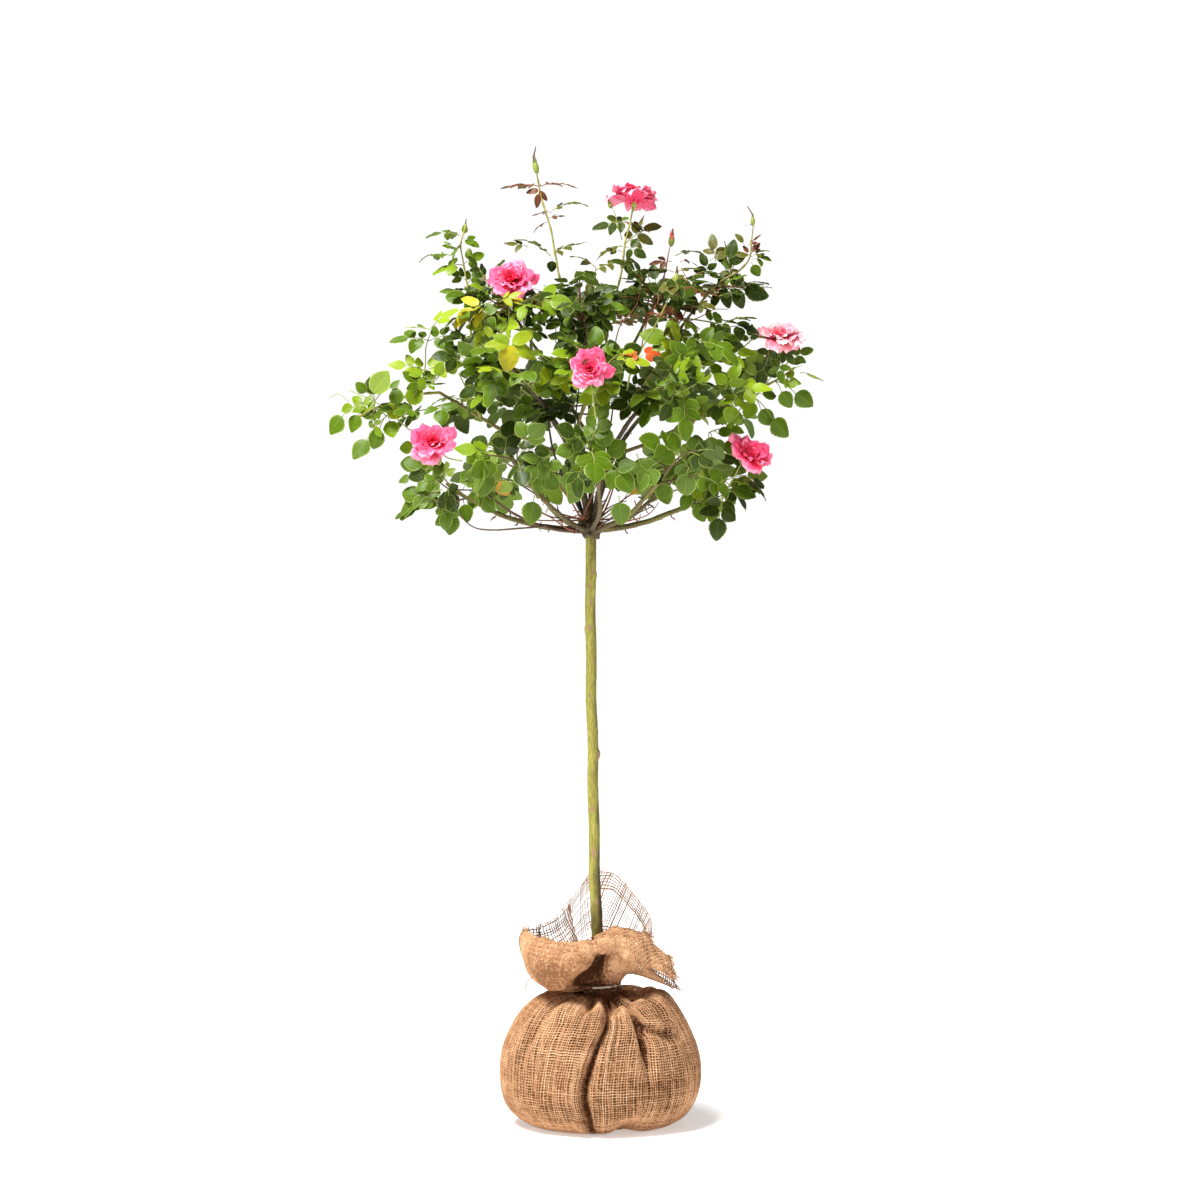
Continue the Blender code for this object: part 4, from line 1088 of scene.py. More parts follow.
def hand_leaves(random):
    """The listed leaves, in the form that add_leaves takes."""
    x, y, z, angle, size, leaflets, forward = np.array([row[:7] for row in HAND_LEAVES]).T
    turn = np.radians(angle)
    heading = np.column_stack((np.cos(turn), random.uniform(-0.35, 0.15, len(x)), np.sin(turn)))
    facing = forward[:, None] * np.array((0, -1, 0)) + (1 - forward[:, None]) * UP
    facing = facing + random.normal(0, 0.12, heading.shape)
    tone = tones_of([row[7] for row in HAND_LEAVES])
    pointed = np.isin(tone, tones_of(("yellow", "lime", "bronze", "olive")))
    breadth = np.where(pointed, 0.70, np.where(leaflets == 1, 1.1, 0.88))
    place = np.column_stack((x, y, z)) / 1000
    return place, unit(heading), facing, size / 1000, leaflets.astype(int), tone, breadth


def add_shoots(twig_heap):
    """Slim shoots along their given points, thinning towards the tip."""
    names = list(TWIG_TINTS)
    for tone, thick, depth, flat in SHOOTS:
        path = smooth_path(np.array([(x, depth, z) for x, z in flat]) / 1000, SHOOT_POINTS)
        path[:, 1] += 0.004 * lattice_noise(path, 0.05, 3)
        radii = np.linspace(thick, max(0.0011, 0.5 * thick), SHOOT_POINTS) / 2
        twig_heap.add_tubes(path[None], radii[None], 7, names.index(tone))
    for tone, thick, near, far, flat in CANES:
        near, far, (x, z) = near / 1000, far / 1000, np.array(flat).T / 1000
        share = np.linspace(0, 1, len(flat))
        path = smooth_path(np.column_stack((x, near + (far - near) * share, z)), CANE_POINTS)
        path = path + 0.0018 * np.stack([lattice_noise(path + axis, 0.025, 5) for axis in range(3)], -1)
        radii = np.linspace(thick, 0.45 * thick, CANE_POINTS) / 2 * (1 + 0.12 * lattice_noise(path, 0.006, 2))
        twig_heap.add_tubes(path[None], radii[None], 8, names.index(tone))


def add_inner_twigs(twig_heap, random):
    """Short bare twigs that cross close above the union."""
    count = 12
    turn = random.uniform(0, 6.3, count)
    spread = random.uniform(0.04, 0.12, count)
    start = UNION_MIDDLE + np.column_stack((0.010 * np.cos(turn), 0.010 * np.sin(turn), 0.010 + 0 * turn))
    end = UNION_MIDDLE + np.column_stack(
        (spread * np.cos(turn), spread * np.sin(turn), random.uniform(0.010, 0.10, count))
    )
    bow = np.column_stack((0 * turn, 0 * turn, random.uniform(-0.012, 0.006, count)))
    paths = bowed_path(start, end, bow, 10)
    radii = np.outer(random.uniform(0.0009, 0.0019, count), np.linspace(1, 0.5, 10))
    twig_heap.add_tubes(paths, radii, 6, random.choice((1, 2, 3), count, p=(0.35, 0.45, 0.20)))


def along_limb(name, first, last, random, count):
    """Places on a limb's middle line between two of its points: places, ways along it and point numbers."""
    path = limb_path(name)
    spot = random.integers(first, last, count)
    return path[spot][:, None], unit(path[spot] - path[spot - 1]), spot


def add_prickles(heap, random):
    """Hooked prickles on the boughs: a cone of flattened rings that bends back along the bough."""
    count = 9
    for name in [limb for limb in LIMBS if limb.startswith("bough")]:
        place, along, spot = along_limb(name, 8, LIMB_POINTS - 4, random, count)
        out = square_to(random.normal(0, 1, (count, 3)), along)
        thick, thin = LIMBS[name][3:5]
        radius = (thick + (thin - thick) * spot / LIMB_POINTS) / 2
        length = random.uniform(0.004, 0.0075, count)[:, None, None]
        t = np.linspace(0, 1, 5)[None, :, None]
        foot = place + out[:, None] * (radius[:, None, None] * 0.7)
        middle = foot + length * (out[:, None] * t - 0.45 * along[:, None] * t**2)
        radii = np.outer(np.full(count, 0.0013), (1, 0.62, 0.36, 0.18, 0.03))
        heap.add_tubes(middle, radii, 6, random.choice((1, 2, 3), count))


def add_spurs(heap):
    """Short dead side shoots on the low boughs: foot + L·(out·t + 0.35·along·t²), with blunt ends."""
    random = np.random.default_rng(77)
    count = 6
    for name in [limb for limb in LIMBS if limb.startswith("bough_low")]:
        place, along, _ = along_limb(name, 5, 46, random, count)
        out = square_to(random.normal(0, 1, (count, 3)) * (1, 0.6, 1.4), along)
        length = random.uniform(0.007, 0.018, count)[:, None, None]
        t = np.linspace(0, 1, 6)[None, :, None]
        middle = place + length * (out[:, None] * t + 0.35 * along[:, None] * t**2)
        middle = middle + 0.0008 * random.normal(0, 1, middle.shape) * t
        radii = np.outer(random.uniform(0.0008, 0.0014, count), (1.5, 1.0, 0.9, 0.85, 0.95, 0.6))
        heap.add_tubes(middle, radii, 6, random.choice((1, 2, 3), count, p=(0.5, 0.2, 0.3)))


def make_leaves():
    """Leaves and twigs of the whole plant, in three pieces of leaves and one of twigs."""
    random = np.random.default_rng(58)
    twig_heap = Heap()
    heaps = {"low": Heap(), "mid": Heap(), "high": Heap()}
    grown = {band: [] for band in heaps}
    for name in MASSES:
        grow_mass(name, grown[height_band(name)], twig_heap, random)
    grown["high"].append(hand_leaves(random))
    grow_extra(grown["high"], twig_heap, random)
    for band, rows in grown.items():
        joined = [np.concatenate(column) for column in zip(*rows)]
        add_leaves(heaps[band], twig_heap, joined, random)
    add_side_sprays(heaps["low"], twig_heap, random)
    add_star(heaps["mid"])
    add_shoots(twig_heap)
    add_inner_twigs(twig_heap, random)
    add_prickles(twig_heap, random)
    add_spurs(twig_heap)
    paints = leaf_materials()
    for band, heap in heaps.items():
        masses = ["foliage_" + name for name in MASSES if height_band(name) == band]
        heap.piece("leaves_" + band, paints, "foliage", masses)
    paints = [plain("twig_" + name, shade, 0.6, 0.0015, 0.0003, 0.3) for name, shade in TWIG_TINTS.items()]
    twig_heap.piece("twigs", paints, "young_bark")


# ---- Blooms and buds ----

BLOOMS = (  # middle, axis, radius, palette, seed
    ((0.052, -0.034, 1.392), (0.06, 0.20, 0.98), 0.039, "blush", 1),
    ((-0.130, -0.100, 1.259), (0.0, -0.80, 0.60), 0.037, "rose", 2),
    ((-0.014, -0.235, 1.114), (0.1, -0.93, 0.35), 0.033, "rose", 3),
    ((0.272, -0.030, 1.184), (0.08, -0.50, 0.86), 0.039, "salmon", 4),
    ((-0.244, -0.130, 1.018), (0.0, -0.80, 0.60), 0.037, "rose", 5),
    ((0.224, -0.100, 1.003), (0.34, -0.56, 0.75), 0.038, "rose", 6),
)
PETALS = 38
PETAL_GRID = 9


def basis(axis):
    """Two unit vectors square to the axis, and the axis."""
    axis = unit(np.array(axis, float))
    across = square_to(np.array((1.0, 0.3, 0.0)), axis)
    return across, np.cross(axis, across), axis


def spun(foot, axes, turn, outward, sideways, upward):
    """Points at distances outwards, sideways and up from the foot, turned round the last of the axes."""
    across, up, axis = axes
    x = outward * np.cos(turn) - sideways * np.sin(turn)
    y = outward * np.sin(turn) + sideways * np.cos(turn)
    return foot + x[..., None] * across + y[..., None] * up + upward[..., None] * axis


def add_bloom(heap, middle, axis, radius, palette, random):
    """Petals set by the golden angle. Petal number k opens by an angle that grows with k: its middle line
    leans from phi0 at the foot to phi1 at the tip, and its sides wrap round a barrel."""
    axes = basis(axis)
    order = np.arange(PETALS)
    share = order / (PETALS - 1)
    turn = order * GOLDEN + random.normal(0, 0.25, PETALS)
    phi0 = np.radians(4 + 46 * share) + random.normal(0, 0.06, PETALS)
    phi1 = np.radians(12 + 96 * share**0.9) + random.normal(0, 0.20, PETALS)
    length = radius * (0.42 + 0.60 * share) * random.uniform(0.88, 1.12, PETALS)
    wide = radius * (0.20 + 0.25 * share) * random.uniform(0.85, 1.15, PETALS)
    u = np.linspace(0, 1, PETAL_GRID)[None, :, None]
    v = np.linspace(-1, 1, PETAL_GRID)[None, None, :]
    col = (slice(None), None, None)
    lean = phi0[col] + (phi1 - phi0)[col] * u**1.4
    step = length[col] / (PETAL_GRID - 1)
    sine, cosine = np.sin(lean), np.cos(lean)
    reach = np.cumsum(sine, axis=1) * step - sine[:, :1] * step
    rise = np.cumsum(cosine, axis=1) * step - cosine[:, :1] * step
    half = wide[col] * (0.30 + 0.70 * np.sin(math.pi * (0.10 + 0.56 * u))) * (1 - 0.30 * u**6)
    tip = 0.10 * length[col] * u**3 * (1 - np.abs(v) ** 1.5)
    frill = 0.055 * length[col] * u**3 * np.sin(5.0 * v + random.uniform(0, 6.3, PETALS)[col])
    frill = frill + 0.035 * length[col] * u**4 * np.sin(11 * v + random.uniform(0, 6.3, PETALS)[col])
    barrel = radius * (0.26 + 0.60 * share)[col]
    bend = half * v / barrel
    roll = 0.22 * length[col] * share[col] * u**3 * v**2
    sideways = barrel * np.sin(bend)
    outward = reach + tip * sine - barrel * (1 - np.cos(bend)) * (1 - 0.7 * share[col] * u) + frill * cosine
    outward = outward + roll * cosine + 0.06 * radius
    upward = rise + tip * cosine - frill * sine - roll * sine
    foot = np.array(middle) - axes[2] * radius * 0.50
    points = spun(foot, axes, turn[col], outward, sideways, upward)
    mid_u = (np.arange(PETAL_GRID - 1) + 0.5) / (PETAL_GRID - 1)
    edge = np.abs(np.linspace(-1, 1, PETAL_GRID)[:-1] + 1 / (PETAL_GRID - 1))
    # Deep at the bases of the inner petals, palest at the tips and rims: partly the petals' own paler rims,
    # partly painted shade in the heart of the bloom.
    light = 0.15 + 0.25 * share[:, None, None] + 0.55 * mid_u[None, :, None] ** 2 + 0.15 * edge[None, None]
    light = light + random.normal(0, 0.10, (PETALS, 1, 1))
    tone = np.clip((light * 3.4).astype(int), 0, 3).reshape(PETALS, -1)
    tone = tone + 4 * list(PETAL_TINTS).index(palette)
    heap.add_copies(points.reshape(PETALS, -1, 3), grid_faces(PETAL_GRID, PETAL_GRID), tone)


def add_lathe(heap, foot, axis, rows, sides, tone, ribs=0.0):
    """A turned shape: rows are (height, radius) up the axis, with five ribs round it."""
    across, up, axis = basis(axis)
    turns = round_turns(sides)
    rows = np.array(rows, float)
    radius = rows[:, 1:] * (1 + ribs * np.cos(5 * turns))
    rings = (
        np.array(foot) + rows[:, :1, None] * axis
        + (radius * np.cos(turns))[..., None] * across + (radius * np.sin(turns))[..., None] * up
    )
    heap.add(rings, grid_faces(len(rows), sides, closed=True), tone)


def add_sepals(heap, foot, axis, size, opened, tone, random, start=20, loose=15, broad=0.17):
    """Five narrow sepals from the foot of a flower, leaning out from the start to the opened angle."""
    count, rows = 5, 6
    turn = round_turns(count) + random.uniform(0, 6.3)
    u = np.linspace(0, 1, rows)[None, :, None]
    v = np.linspace(-1, 1, 3)[None, None]
    lean = np.radians(start + (opened - start + random.normal(0, loose, count))[:, None, None] * u)
    step = size / (rows - 1)
    reach = np.cumsum(np.sin(lean), 1) * step
    rise = np.cumsum(np.cos(lean), 1) * step
    half = size * broad * (1 - u**1.6) + 0.0002
    points = spun(foot, basis(axis), turn[:, None, None], reach - 0.3 * half * v**2, half * v, rise)
    heap.add_copies(points.reshape(count, -1, 3), grid_faces(rows, 3), tone)


CUP = (  # height and radius
    (-0.004, 0.0012), (0.0, 0.0018), (0.003, 0.0036), (0.0065, 0.0042), (0.009, 0.0036), (0.010, 0.0040),
)


def add_calyx(heap, middle, axis, radius, random):
    """The green cup that a bloom sits in, and its sepals turned down."""
    axis = unit(np.array(axis, float))
    foot = np.array(middle) - axis * (radius * 0.50 + 0.0085)
    add_lathe(heap, foot, axis, CUP, 10, 0)
    add_sepals(heap, foot + axis * 0.008, axis, 0.020, 120, 1, random)


BUDS = (  # in mm foot, tip and end of the longest sepal, then widest radius in metres and how pink the tip is
    ((-93, -50, 1414), (-98.5, -50, 1439), (-95, -50, 1456), 0.0044, 0.0),
    ((111, -100, 1243), (112.5, -100, 1264), (113, -100, 1273), 0.0052, 0.0),
    ((106, -20, 1310), (108, -20, 1334), (109, -20, 1338), 0.0046, 0.3),
    ((229.5, 0, 1344), (229, 0, 1361), (220, 0, 1375), 0.0034, 0.0),
    ((-202, -10, 1334), (-201, -10, 1348), (-200, -10, 1354), 0.0034, 0.0),
    ((17, -30, 1366), (12.5, -30, 1379), (10, -30, 1387), 0.0034, 0.0),
    ((58.5, -30, 1340), (64, -30, 1352), (66, -30, 1356), 0.0028, 0.0),
    ((202.5, 0, 1299), (203, 0, 1309), (201, 0, 1316), 0.0022, 0.0),
)
WISP = (0.42, 0.36, 0.30, 0.26, 0.24, 0.20, 0.06)  # radius of the long sepal, as a share of the bud's


def add_bud(heap, petal_heap, foot, tip, end, radius, pink, random):
    """A closed bud: r(t) = R·sin(pi·t^0.72)^0.8, with sepals that hug it and one long one at the tip."""
    foot, tip, end = np.array((foot, tip, end)) / 1000
    length = np.linalg.norm(tip - foot)
    axis = (tip - foot) / length
    t = np.linspace(0.03, 0.97, 10)
    rows = np.column_stack((t * length, radius * np.sin(math.pi * t**0.72) ** 0.8))
    add_lathe(heap, foot, axis, rows, 10, 1, 0.06)
    add_sepals(heap, foot + axis * 0.10 * length, axis, length * 0.88, -14, 3, random, 20, 5, 0.075)
    path = smooth_path([foot + 0.72 * (tip - foot), tip, tip + 0.55 * (end - tip), end], len(WISP))
    heap.add_tubes(path[None], radius * np.array(WISP)[None], 6, 2)
    if pink:
        spread = radius * np.linspace(0.95, 0.1, 7) ** 0.7
        rows = np.column_stack((np.linspace(0.5, 1.05, 7) * length, spread))
        add_lathe(petal_heap, foot, axis, rows, 10, 1)


def make_blooms():
    """Six open blooms, the buds, and the green cups below them."""
    random = np.random.default_rng(12)
    petals, greens = Heap(), Heap()
    for middle, axis, radius, palette, seed in BLOOMS:
        own = np.random.default_rng(seed)
        add_bloom(petals, middle, axis, radius, palette, own)
        add_calyx(greens, middle, axis, radius, own)
    for row in BUDS:
        add_bud(greens, petals, *row, random)
    paints = [
        plain(f"petal_{name}_{order}", colour, 0.6, 0.012, 0.0006, 0.25)
        for name, palette in PETAL_TINTS.items() for order, colour in enumerate(palette)
    ]
    petals.piece("petals", paints, "foliage")
    paints = [plain("calyx_cup", SAP_GREEN, 0.5), plain("sepal", SEPAL_GREEN, 0.55)]
    paints += [plain("sepal_" + name, LEAF_TINTS[name], 0.55) for name in ("bronze", "olive")]
    greens.piece("calyxes", paints, "young_bark")


# ---- Root ball: soil, sacking and tie ----

BALL_RADIUS, WAIST_HEIGHT = 0.149, 0.068
LOWER_BULGE, UPPER_BULGE = 0.062, 0.086  # half widths of the two ellipses of the flank
LOWER_REACH, UPPER_REACH = 0.068, 0.1285  # and their half heights
NECK_RADIUS, NECK_HEIGHT = 0.0275, 0.2055
# Radius, height and lobe strength from the shoulder to the tie.
SHOULDER = ((0.072, 0.1965, 0.8), (0.04975, 0.1975, 0.5), (0.0275, 0.1945, 0.0), (0.0275, 0.2055, 0.0))
UNDER_RADIUS, UNDER_PITCH, UNDER_LEVEL = 0.070, 0.0060, 0.0012  # the flat disc of cloth under the ball
LOBES = ((3, 0.016, 0.6), (5, 0.012, 2.1), (8, 0.007, 0.2))  # waves round the ball, share of radius, phase
COLLAR_TURNS = (
    -180, -160, -140, -120, -105, -90, -75, -58, -42, -24, -2, 18, 38, 55, 72, 90, 108, 126, 144, 162,
)  # degrees round the neck of the columns below
COLLAR_COLUMNS = (  # (x, y, z) in mm from just above the neck out to the rim
    ((-50, 2, 208), (-80, 4, 214), (-102, 4, 232), (-114, 4, 256), (-118, 2, 276), (-116, 2, 287)),
    ((-54, -14, 205), (-84, -22, 209), (-104, -28, 226), (-113, -30, 250), (-112, -28, 270),
     (-106, -24, 281)),
    ((-48, -32, 204), (-76, -52, 206), (-92, -66, 222), (-98, -70, 246), (-93, -66, 266), (-84, -58, 277)),
    ((-46, -38, 204), (-64, -60, 206), (-70, -77, 220), (-66, -87, 242), (-60, -81, 263), (-52, -66, 276)),
    ((-40, -42, 203), (-47, -64, 213), (-39, -79, 228), (-19, -87, 244), (-14, -80, 264), (-18, -60, 277)),
    ((-24, -20, 210), (-33, -22, 217), (-31, -24, 231), (-14, -40, 249), (-4, -72, 263), (-7, -54, 281)),
    ((-5, -20, 213), (-11, -14, 226), (-9, -16, 240), (3, -34, 257), (9, -64, 268), (6, -48, 282)),
    ((14, -34, 216), (14, -47, 232), (18, -58, 250), (21, -64, 266), (20, -58, 277), (16, -46, 281)),
    ((24, -25, 214), (31, -37, 228), (36, -48, 244), (39, -56, 258), (37, -50, 268), (29, -38, 274)),
    ((32, -13, 216), (42, -15, 226), (60, -18, 224), (80, -20, 216), (96, -19, 208), (107, -18, 203)),
    ((34, 0, 220), (49, 0, 234), (69, -2, 238), (89, -4, 232), (103, -6, 223), (112, -6, 214)),
    ((34, 12, 226), (49, 16, 246), (67, 16, 256), (84, 12, 253), (98, 6, 244), (108, 2, 234)),
    ((28, 22, 232), (38, 30, 252), (50, 34, 262), (62, 34, 266), (72, 32, 266), (80, 30, 264)),
    ((20, 28, 234), (30, 36, 256), (44, 42, 272), (58, 46, 284), (68, 46, 292), (78, 44, 299)),
    ((12, 32, 236), (20, 38, 262), (30, 44, 286), (40, 48, 306), (47, 50, 322), (53, 50, 336)),
    ((3, 33, 238), (7, 38, 266), (11, 44, 296), (14, 50, 326), (16, 54, 350), (18, 56, 370)),
    ((-7, 32, 236), (-10, 38, 262), (-13, 45, 290), (-15, 50, 318), (-16, 53, 344), (-16, 54, 365)),
    ((-17, 27, 232), (-24, 34, 254), (-30, 41, 276), (-34, 46, 298), (-36, 48, 318), (-36, 48, 335)),
    ((-27, 20, 224), (-40, 27, 240), (-50, 33, 256), (-58, 37, 272), (-64, 38, 286), (-67, 38, 299)),
    ((-40, 12, 214), (-62, 18, 226), (-78, 22, 242), (-88, 24, 260), (-94, 24, 276), (-97, 22, 290)),
)
ROLLED = range(1, 8)  # columns whose rim rolls inwards
FLAP_COLUMNS = (  # the cloth over the right of the collar: (x, y, z) in mm from its back edge forward
    ((-12, -24, 268), (-10, -38, 282), (-6, -56, 284), (-3, -67, 274), (0, -68, 262)),
    ((12, -12, 280), (18, -30, 294), (22, -52, 288), (24, -66, 274), (26, -69, 258)),
    ((36, -4, 284), (42, -26, 294), (46, -48, 284), (48, -62, 266), (49, -67, 250)),
    ((58, 0, 278), (64, -20, 284), (68, -40, 272), (70, -52, 256), (71, -58, 240)),
    ((80, 0, 262), (84, -16, 266), (88, -32, 257), (90, -42, 244), (92, -46, 231)),
    ((99, 0, 248), (102, -12, 250), (105, -24, 244), (107, -32, 235), (109, -36, 225)),
)
PITCH = 0.0040  # of the weave
OVERLAP = 1.3  # pitches by which neighbouring panels of cloth overlap
THREAD_WIDTH = 0.0024
THREAD_RIDGE = 0.0010  # height of a thread's middle over its edges
THREAD_RISE = 0.00042  # of a thread where it passes over another, and its fall where it passes under


def body_profile():
    """Radius, height and lobe strength every half millimetre from under the ball up to the tie."""
    angles = np.radians(np.linspace(-58, 74, 40))
    below = angles < 0
    spread = BALL_RADIUS - np.where(below, LOWER_BULGE, UPPER_BULGE) * (1 - np.cos(angles))
    level = WAIST_HEIGHT + np.where(below, LOWER_REACH, UPPER_REACH) * np.sin(angles)
    flank = np.column_stack((spread, level, np.ones_like(spread)))
    foot = ((UNDER_RADIUS, UNDER_LEVEL, 0.0), (0.096, UNDER_LEVEL, 0.0), (0.1085, 0.0028, 0.2))
    rows = np.concatenate((foot, flank, SHOULDER))
    reach = walked(rows[:, :2])
    fine = np.arange(0, reach[-1], 0.0005)
    table = np.column_stack([np.interp(fine, reach, column) for column in rows.T])
    kernel = np.hanning(17) / np.hanning(17).sum()
    padded = np.pad(table, ((8, 8), (0, 0)), mode="edge")
    return fine, np.column_stack([np.convolve(column, kernel, "valid") for column in padded.T])


BODY_REACH, BODY_TABLE = body_profile()
BODY_LENGTH = BODY_REACH[-1]

# Creases of the cloth: degrees round the ball at heights from the tie down, depth and half width in
# metres, and how far the left side rolls over it.
CREASES = (
    (((0.205, -80), (0.1625, -84.8), (0.1365, -91.4), (0.11, -95.4), (0.081, -98.7), (0.0585, -99.3),
      (0.0375, -97.4), (0.0, -96)), 0.0180, 0.0068, 0.0095),
    (((0.205, -72), (0.170, -76), (0.140, -81)), 0.0130, 0.0048, 0.0),
    (((0.205, -60), (0.18, -61), (0.1365, -61), (0.10, -59)), 0.0210, 0.0078, 0.0050),
    (((0.205, -36), (0.18, -38), (0.150, -41)), 0.0120, 0.0080, 0.0050),
    (((0.205, -100), (0.18, -104), (0.150, -108)), 0.0100, 0.0070, 0.0030),
    (((0.16, -31), (0.11, -26), (0.05, -22)), 0.0040, 0.0110, 0.0),
    (((0.19, -112), (0.15, -118), (0.09, -122), (0.04, -123)), 0.0045, 0.0090, 0.0),
    (((0.205, -133), (0.17, -136), (0.11, -140)), 0.0070, 0.0090, 0.0),
    (((0.205, 168), (0.17, 170), (0.12, 172)), 0.0070, 0.0100, 0.0),
    (((0.205, 142), (0.15, 144), (0.06, 147)), 0.0110, 0.0080, 0.0050),
    (((0.205, 108), (0.15, 112), (0.02, 117)), 0.0120, 0.0070, 0.0060),
    (((0.205, 72), (0.15, 70), (0.08, 66)), 0.0090, 0.0075, 0.0),
    (((0.205, 34), (0.16, 38), (0.02, 43)), 0.0110, 0.0080, 0.0050),
)
HOLLOWS = (  # degrees, distance from the axis, half angle, half reach and depth of broad hollows
    (-62, 0.062, 17, 0.020, 0.009), (-42, 0.070, 15, 0.014, 0.008), (-98, 0.052, 16, 0.014, 0.005),
    (-84, 0.074, 34, 0.027, 0.015),
)
SHOULDER_LOBE = (-4, 32, 0.009, 0.012)  # degrees, half angle, rise at the shoulder, dip beside the neck
NOTCH = (-70, 0.014, 9, 0.030)  # bottom notch: degrees, lift, half angle, height that it fades over
SIDE_FOLD = ((0.1755, -67), (0.165, -52), (0.155, -38))  # a fold that runs sideways under the shoulder


def angle_between(turn, other):
    """The turn from other to turn, from -pi to pi."""
    return np.angle(np.exp(1j * (turn - other)))


def crease_depth(turn, radius, level):
    """How far inwards the cloth lies at each point, from every crease that passes it."""
    depth = np.zeros(np.broadcast(turn, radius, level).shape)
    for path, deep, wide, roll in CREASES:
        rows = np.array(path)[::-1]
        middle = np.radians(np.interp(level, rows[:, 0], rows[:, 1]))
        away = angle_between(turn, middle) * radius
        low, high = rows[0, 0], rows[-1, 0]
        fade = rising(level - low, -0.020, 0.050) if low > 0 else 1.0
        fade = fade * (falling(level, high + 0.025, 0.040) if high < 0.2 else 1.0)
        near = rising(radius, 0, 0.06, 0.35) * rising(radius, 0.028, 0.022)
        depth = depth + deep * near * fade * np.exp(-np.abs(away / wide) ** 1.6)
        depth = depth - roll * near * fade * bell(away + 1.7 * wide, 1.1 * wide)
        depth = depth - 0.25 * deep * near * fade * bell(away - 2.2 * wide, 1.6 * wide)
    rows = np.array(SIDE_FOLD)[:, ::-1]
    degrees = np.degrees(angle_between(turn, 0))
    middle = np.interp(degrees, rows[:, 0], rows[:, 1])
    fade = rising(degrees, -66, 10) * falling(degrees, -24, 26)
    above = level - middle
    return depth + fade * (0.0110 * bell(above + 0.014, 0.0090) - 0.0060 * bell(above, 0.0070))


def body_surface(turn, along, inset=0.0):
    """The ball's cloth: its turned profile with lobes round it, less the depth of the creases."""
    radius, level, strength = (np.interp(along, BODY_REACH, column) for column in BODY_TABLE.T)
    lobed = sum(share * np.cos(waves * turn + phase) for waves, share, phase in LOBES)
    spread = radius * (1 + strength * lobed)
    gather = np.clip(1 - radius / 0.115, 0, 1) * rising(level, 0.1, 0.05) * rising(radius, 0.026, 0.020, 0.35)
    pleats = 0.0042 * gather * np.cos(19 * turn + 5 * np.sin(2 * turn))
    soft = 0.0022 * np.sin(3.1 * turn + 40 * level) * np.sin(5.3 * turn - 25 * level) * strength
    depth = crease_depth(turn, spread, level)
    if inset:
        aside = inset / np.maximum(radius, 0.03)
        for way in (-1, 1):
            depth = np.maximum(depth, crease_depth(turn + way * aside, spread, level))
    inward = depth * rising(level, 0, 0.012, 0.15) + inset
    flank = falling(level, 0.196, 0.03, 0.25)
    spread = spread - inward * flank + pleats + soft * rising(level, 0, 0.02)
    sunk = inward * (1 - flank) * 1.1
    shoulder = level > 0.1
    for degrees, away, half_turn, half_reach, deep in HOLLOWS:
        near = bell(angle_between(turn, math.radians(degrees)), math.radians(half_turn))
        sunk = sunk + deep * near * bell(radius - away, half_reach) * shoulder
    degrees, half_turn, rise, dip = SHOULDER_LOBE
    lobe = bell(angle_between(turn, math.radians(degrees)), math.radians(half_turn)) * shoulder
    sunk = sunk - rise * lobe * bell(radius - 0.093, 0.020) + dip * lobe * bell(radius - 0.060, 0.017)
    degrees, most, half_turn, height = NOTCH
    notch = bell(angle_between(turn, math.radians(degrees)), math.radians(half_turn))
    lift = most * notch * np.clip(1 - level / height, 0, 1) * rising(radius, 0.066, 0.034)
    return np.stack((spread * np.cos(turn), spread * np.sin(turn), level - sunk + lift), -1)


def collar_grid():
    """The columns as points in metres from the neck out, with two rows past the rim: inwards and down where
    the rim is rolled, straight on elsewhere."""
    turns = np.radians(COLLAR_TURNS)
    level = np.full(len(turns), NECK_HEIGHT)
    neck = np.column_stack((NECK_RADIUS * np.cos(turns), NECK_RADIUS * np.sin(turns), level))
    rows = np.array(COLLAR_COLUMNS, float) / 1000
    rim, before = rows[:, -1], rows[:, -2]
    inward = -unit(rim * (1, 1, 0))
    rolled = np.isin(np.arange(len(rows)), ROLLED)[:, None]
    first = np.where(rolled, rim + 0.011 * inward + 0.001 * UP, rim + 0.5 * (rim - before))
    second = np.where(rolled, rim + 0.017 * inward - 0.010 * UP, 2 * rim - before)
    return np.concatenate((neck[:, None], rows, first[:, None], second[:, None]), 1)


COLLAR_GRID = collar_grid()
FLAP_GRID = np.array(FLAP_COLUMNS, float) / 1000
RIM_ROW, LIP_ROW = 6, 8  # rows of the collar's grid at the rim and at the rolled edge


def through_grid(grid, u, v, closed):
    """The smooth surface through a grid of points: a Catmull-Rom curve in both directions. u counts
    columns, which may close into a ring, and v counts rows."""
    u, v = np.broadcast_arrays(u, v)
    wide, tall = grid.shape[:2]
    weights = []
    for value, last in ((u, None if closed else wide - 1), (v, tall - 1)):
        floor = np.floor(value if last is None else np.clip(value, 0, last - 1e-9)).astype(int)
        t = (value - floor)[..., None]
        before, after = (-t + 2 * t**2 - t**3) / 2, (t**3 - t**2) / 2
        weights.append((floor, (before, (2 - 5 * t**2 + 3 * t**3) / 2, (t + 4 * t**2 - 3 * t**3) / 2, after)))
    total = np.zeros(u.shape + (3,))
    for i, column_weight in zip((-1, 0, 1, 2), weights[0][1]):
        column = weights[0][0] + i
        column = column % wide if closed else np.clip(column, 0, wide - 1)
        for j, row_weight in zip((-1, 0, 1, 2), weights[1][1]):
            row = np.clip(weights[1][0] + j, 0, tall - 1)
            total = total + column_weight * row_weight * grid[column, row]
    return total


def pushed(surface, u, v, amount):
    """A surface moved along its own normal."""
    around = surface(u + 0.02, v) - surface(u - 0.02, v)
    onward = surface(u, v + 0.02) - surface(u, v - 0.02)
    return surface(u, v) + unit(np.cross(around, onward) + 1e-12) * amount[..., None]


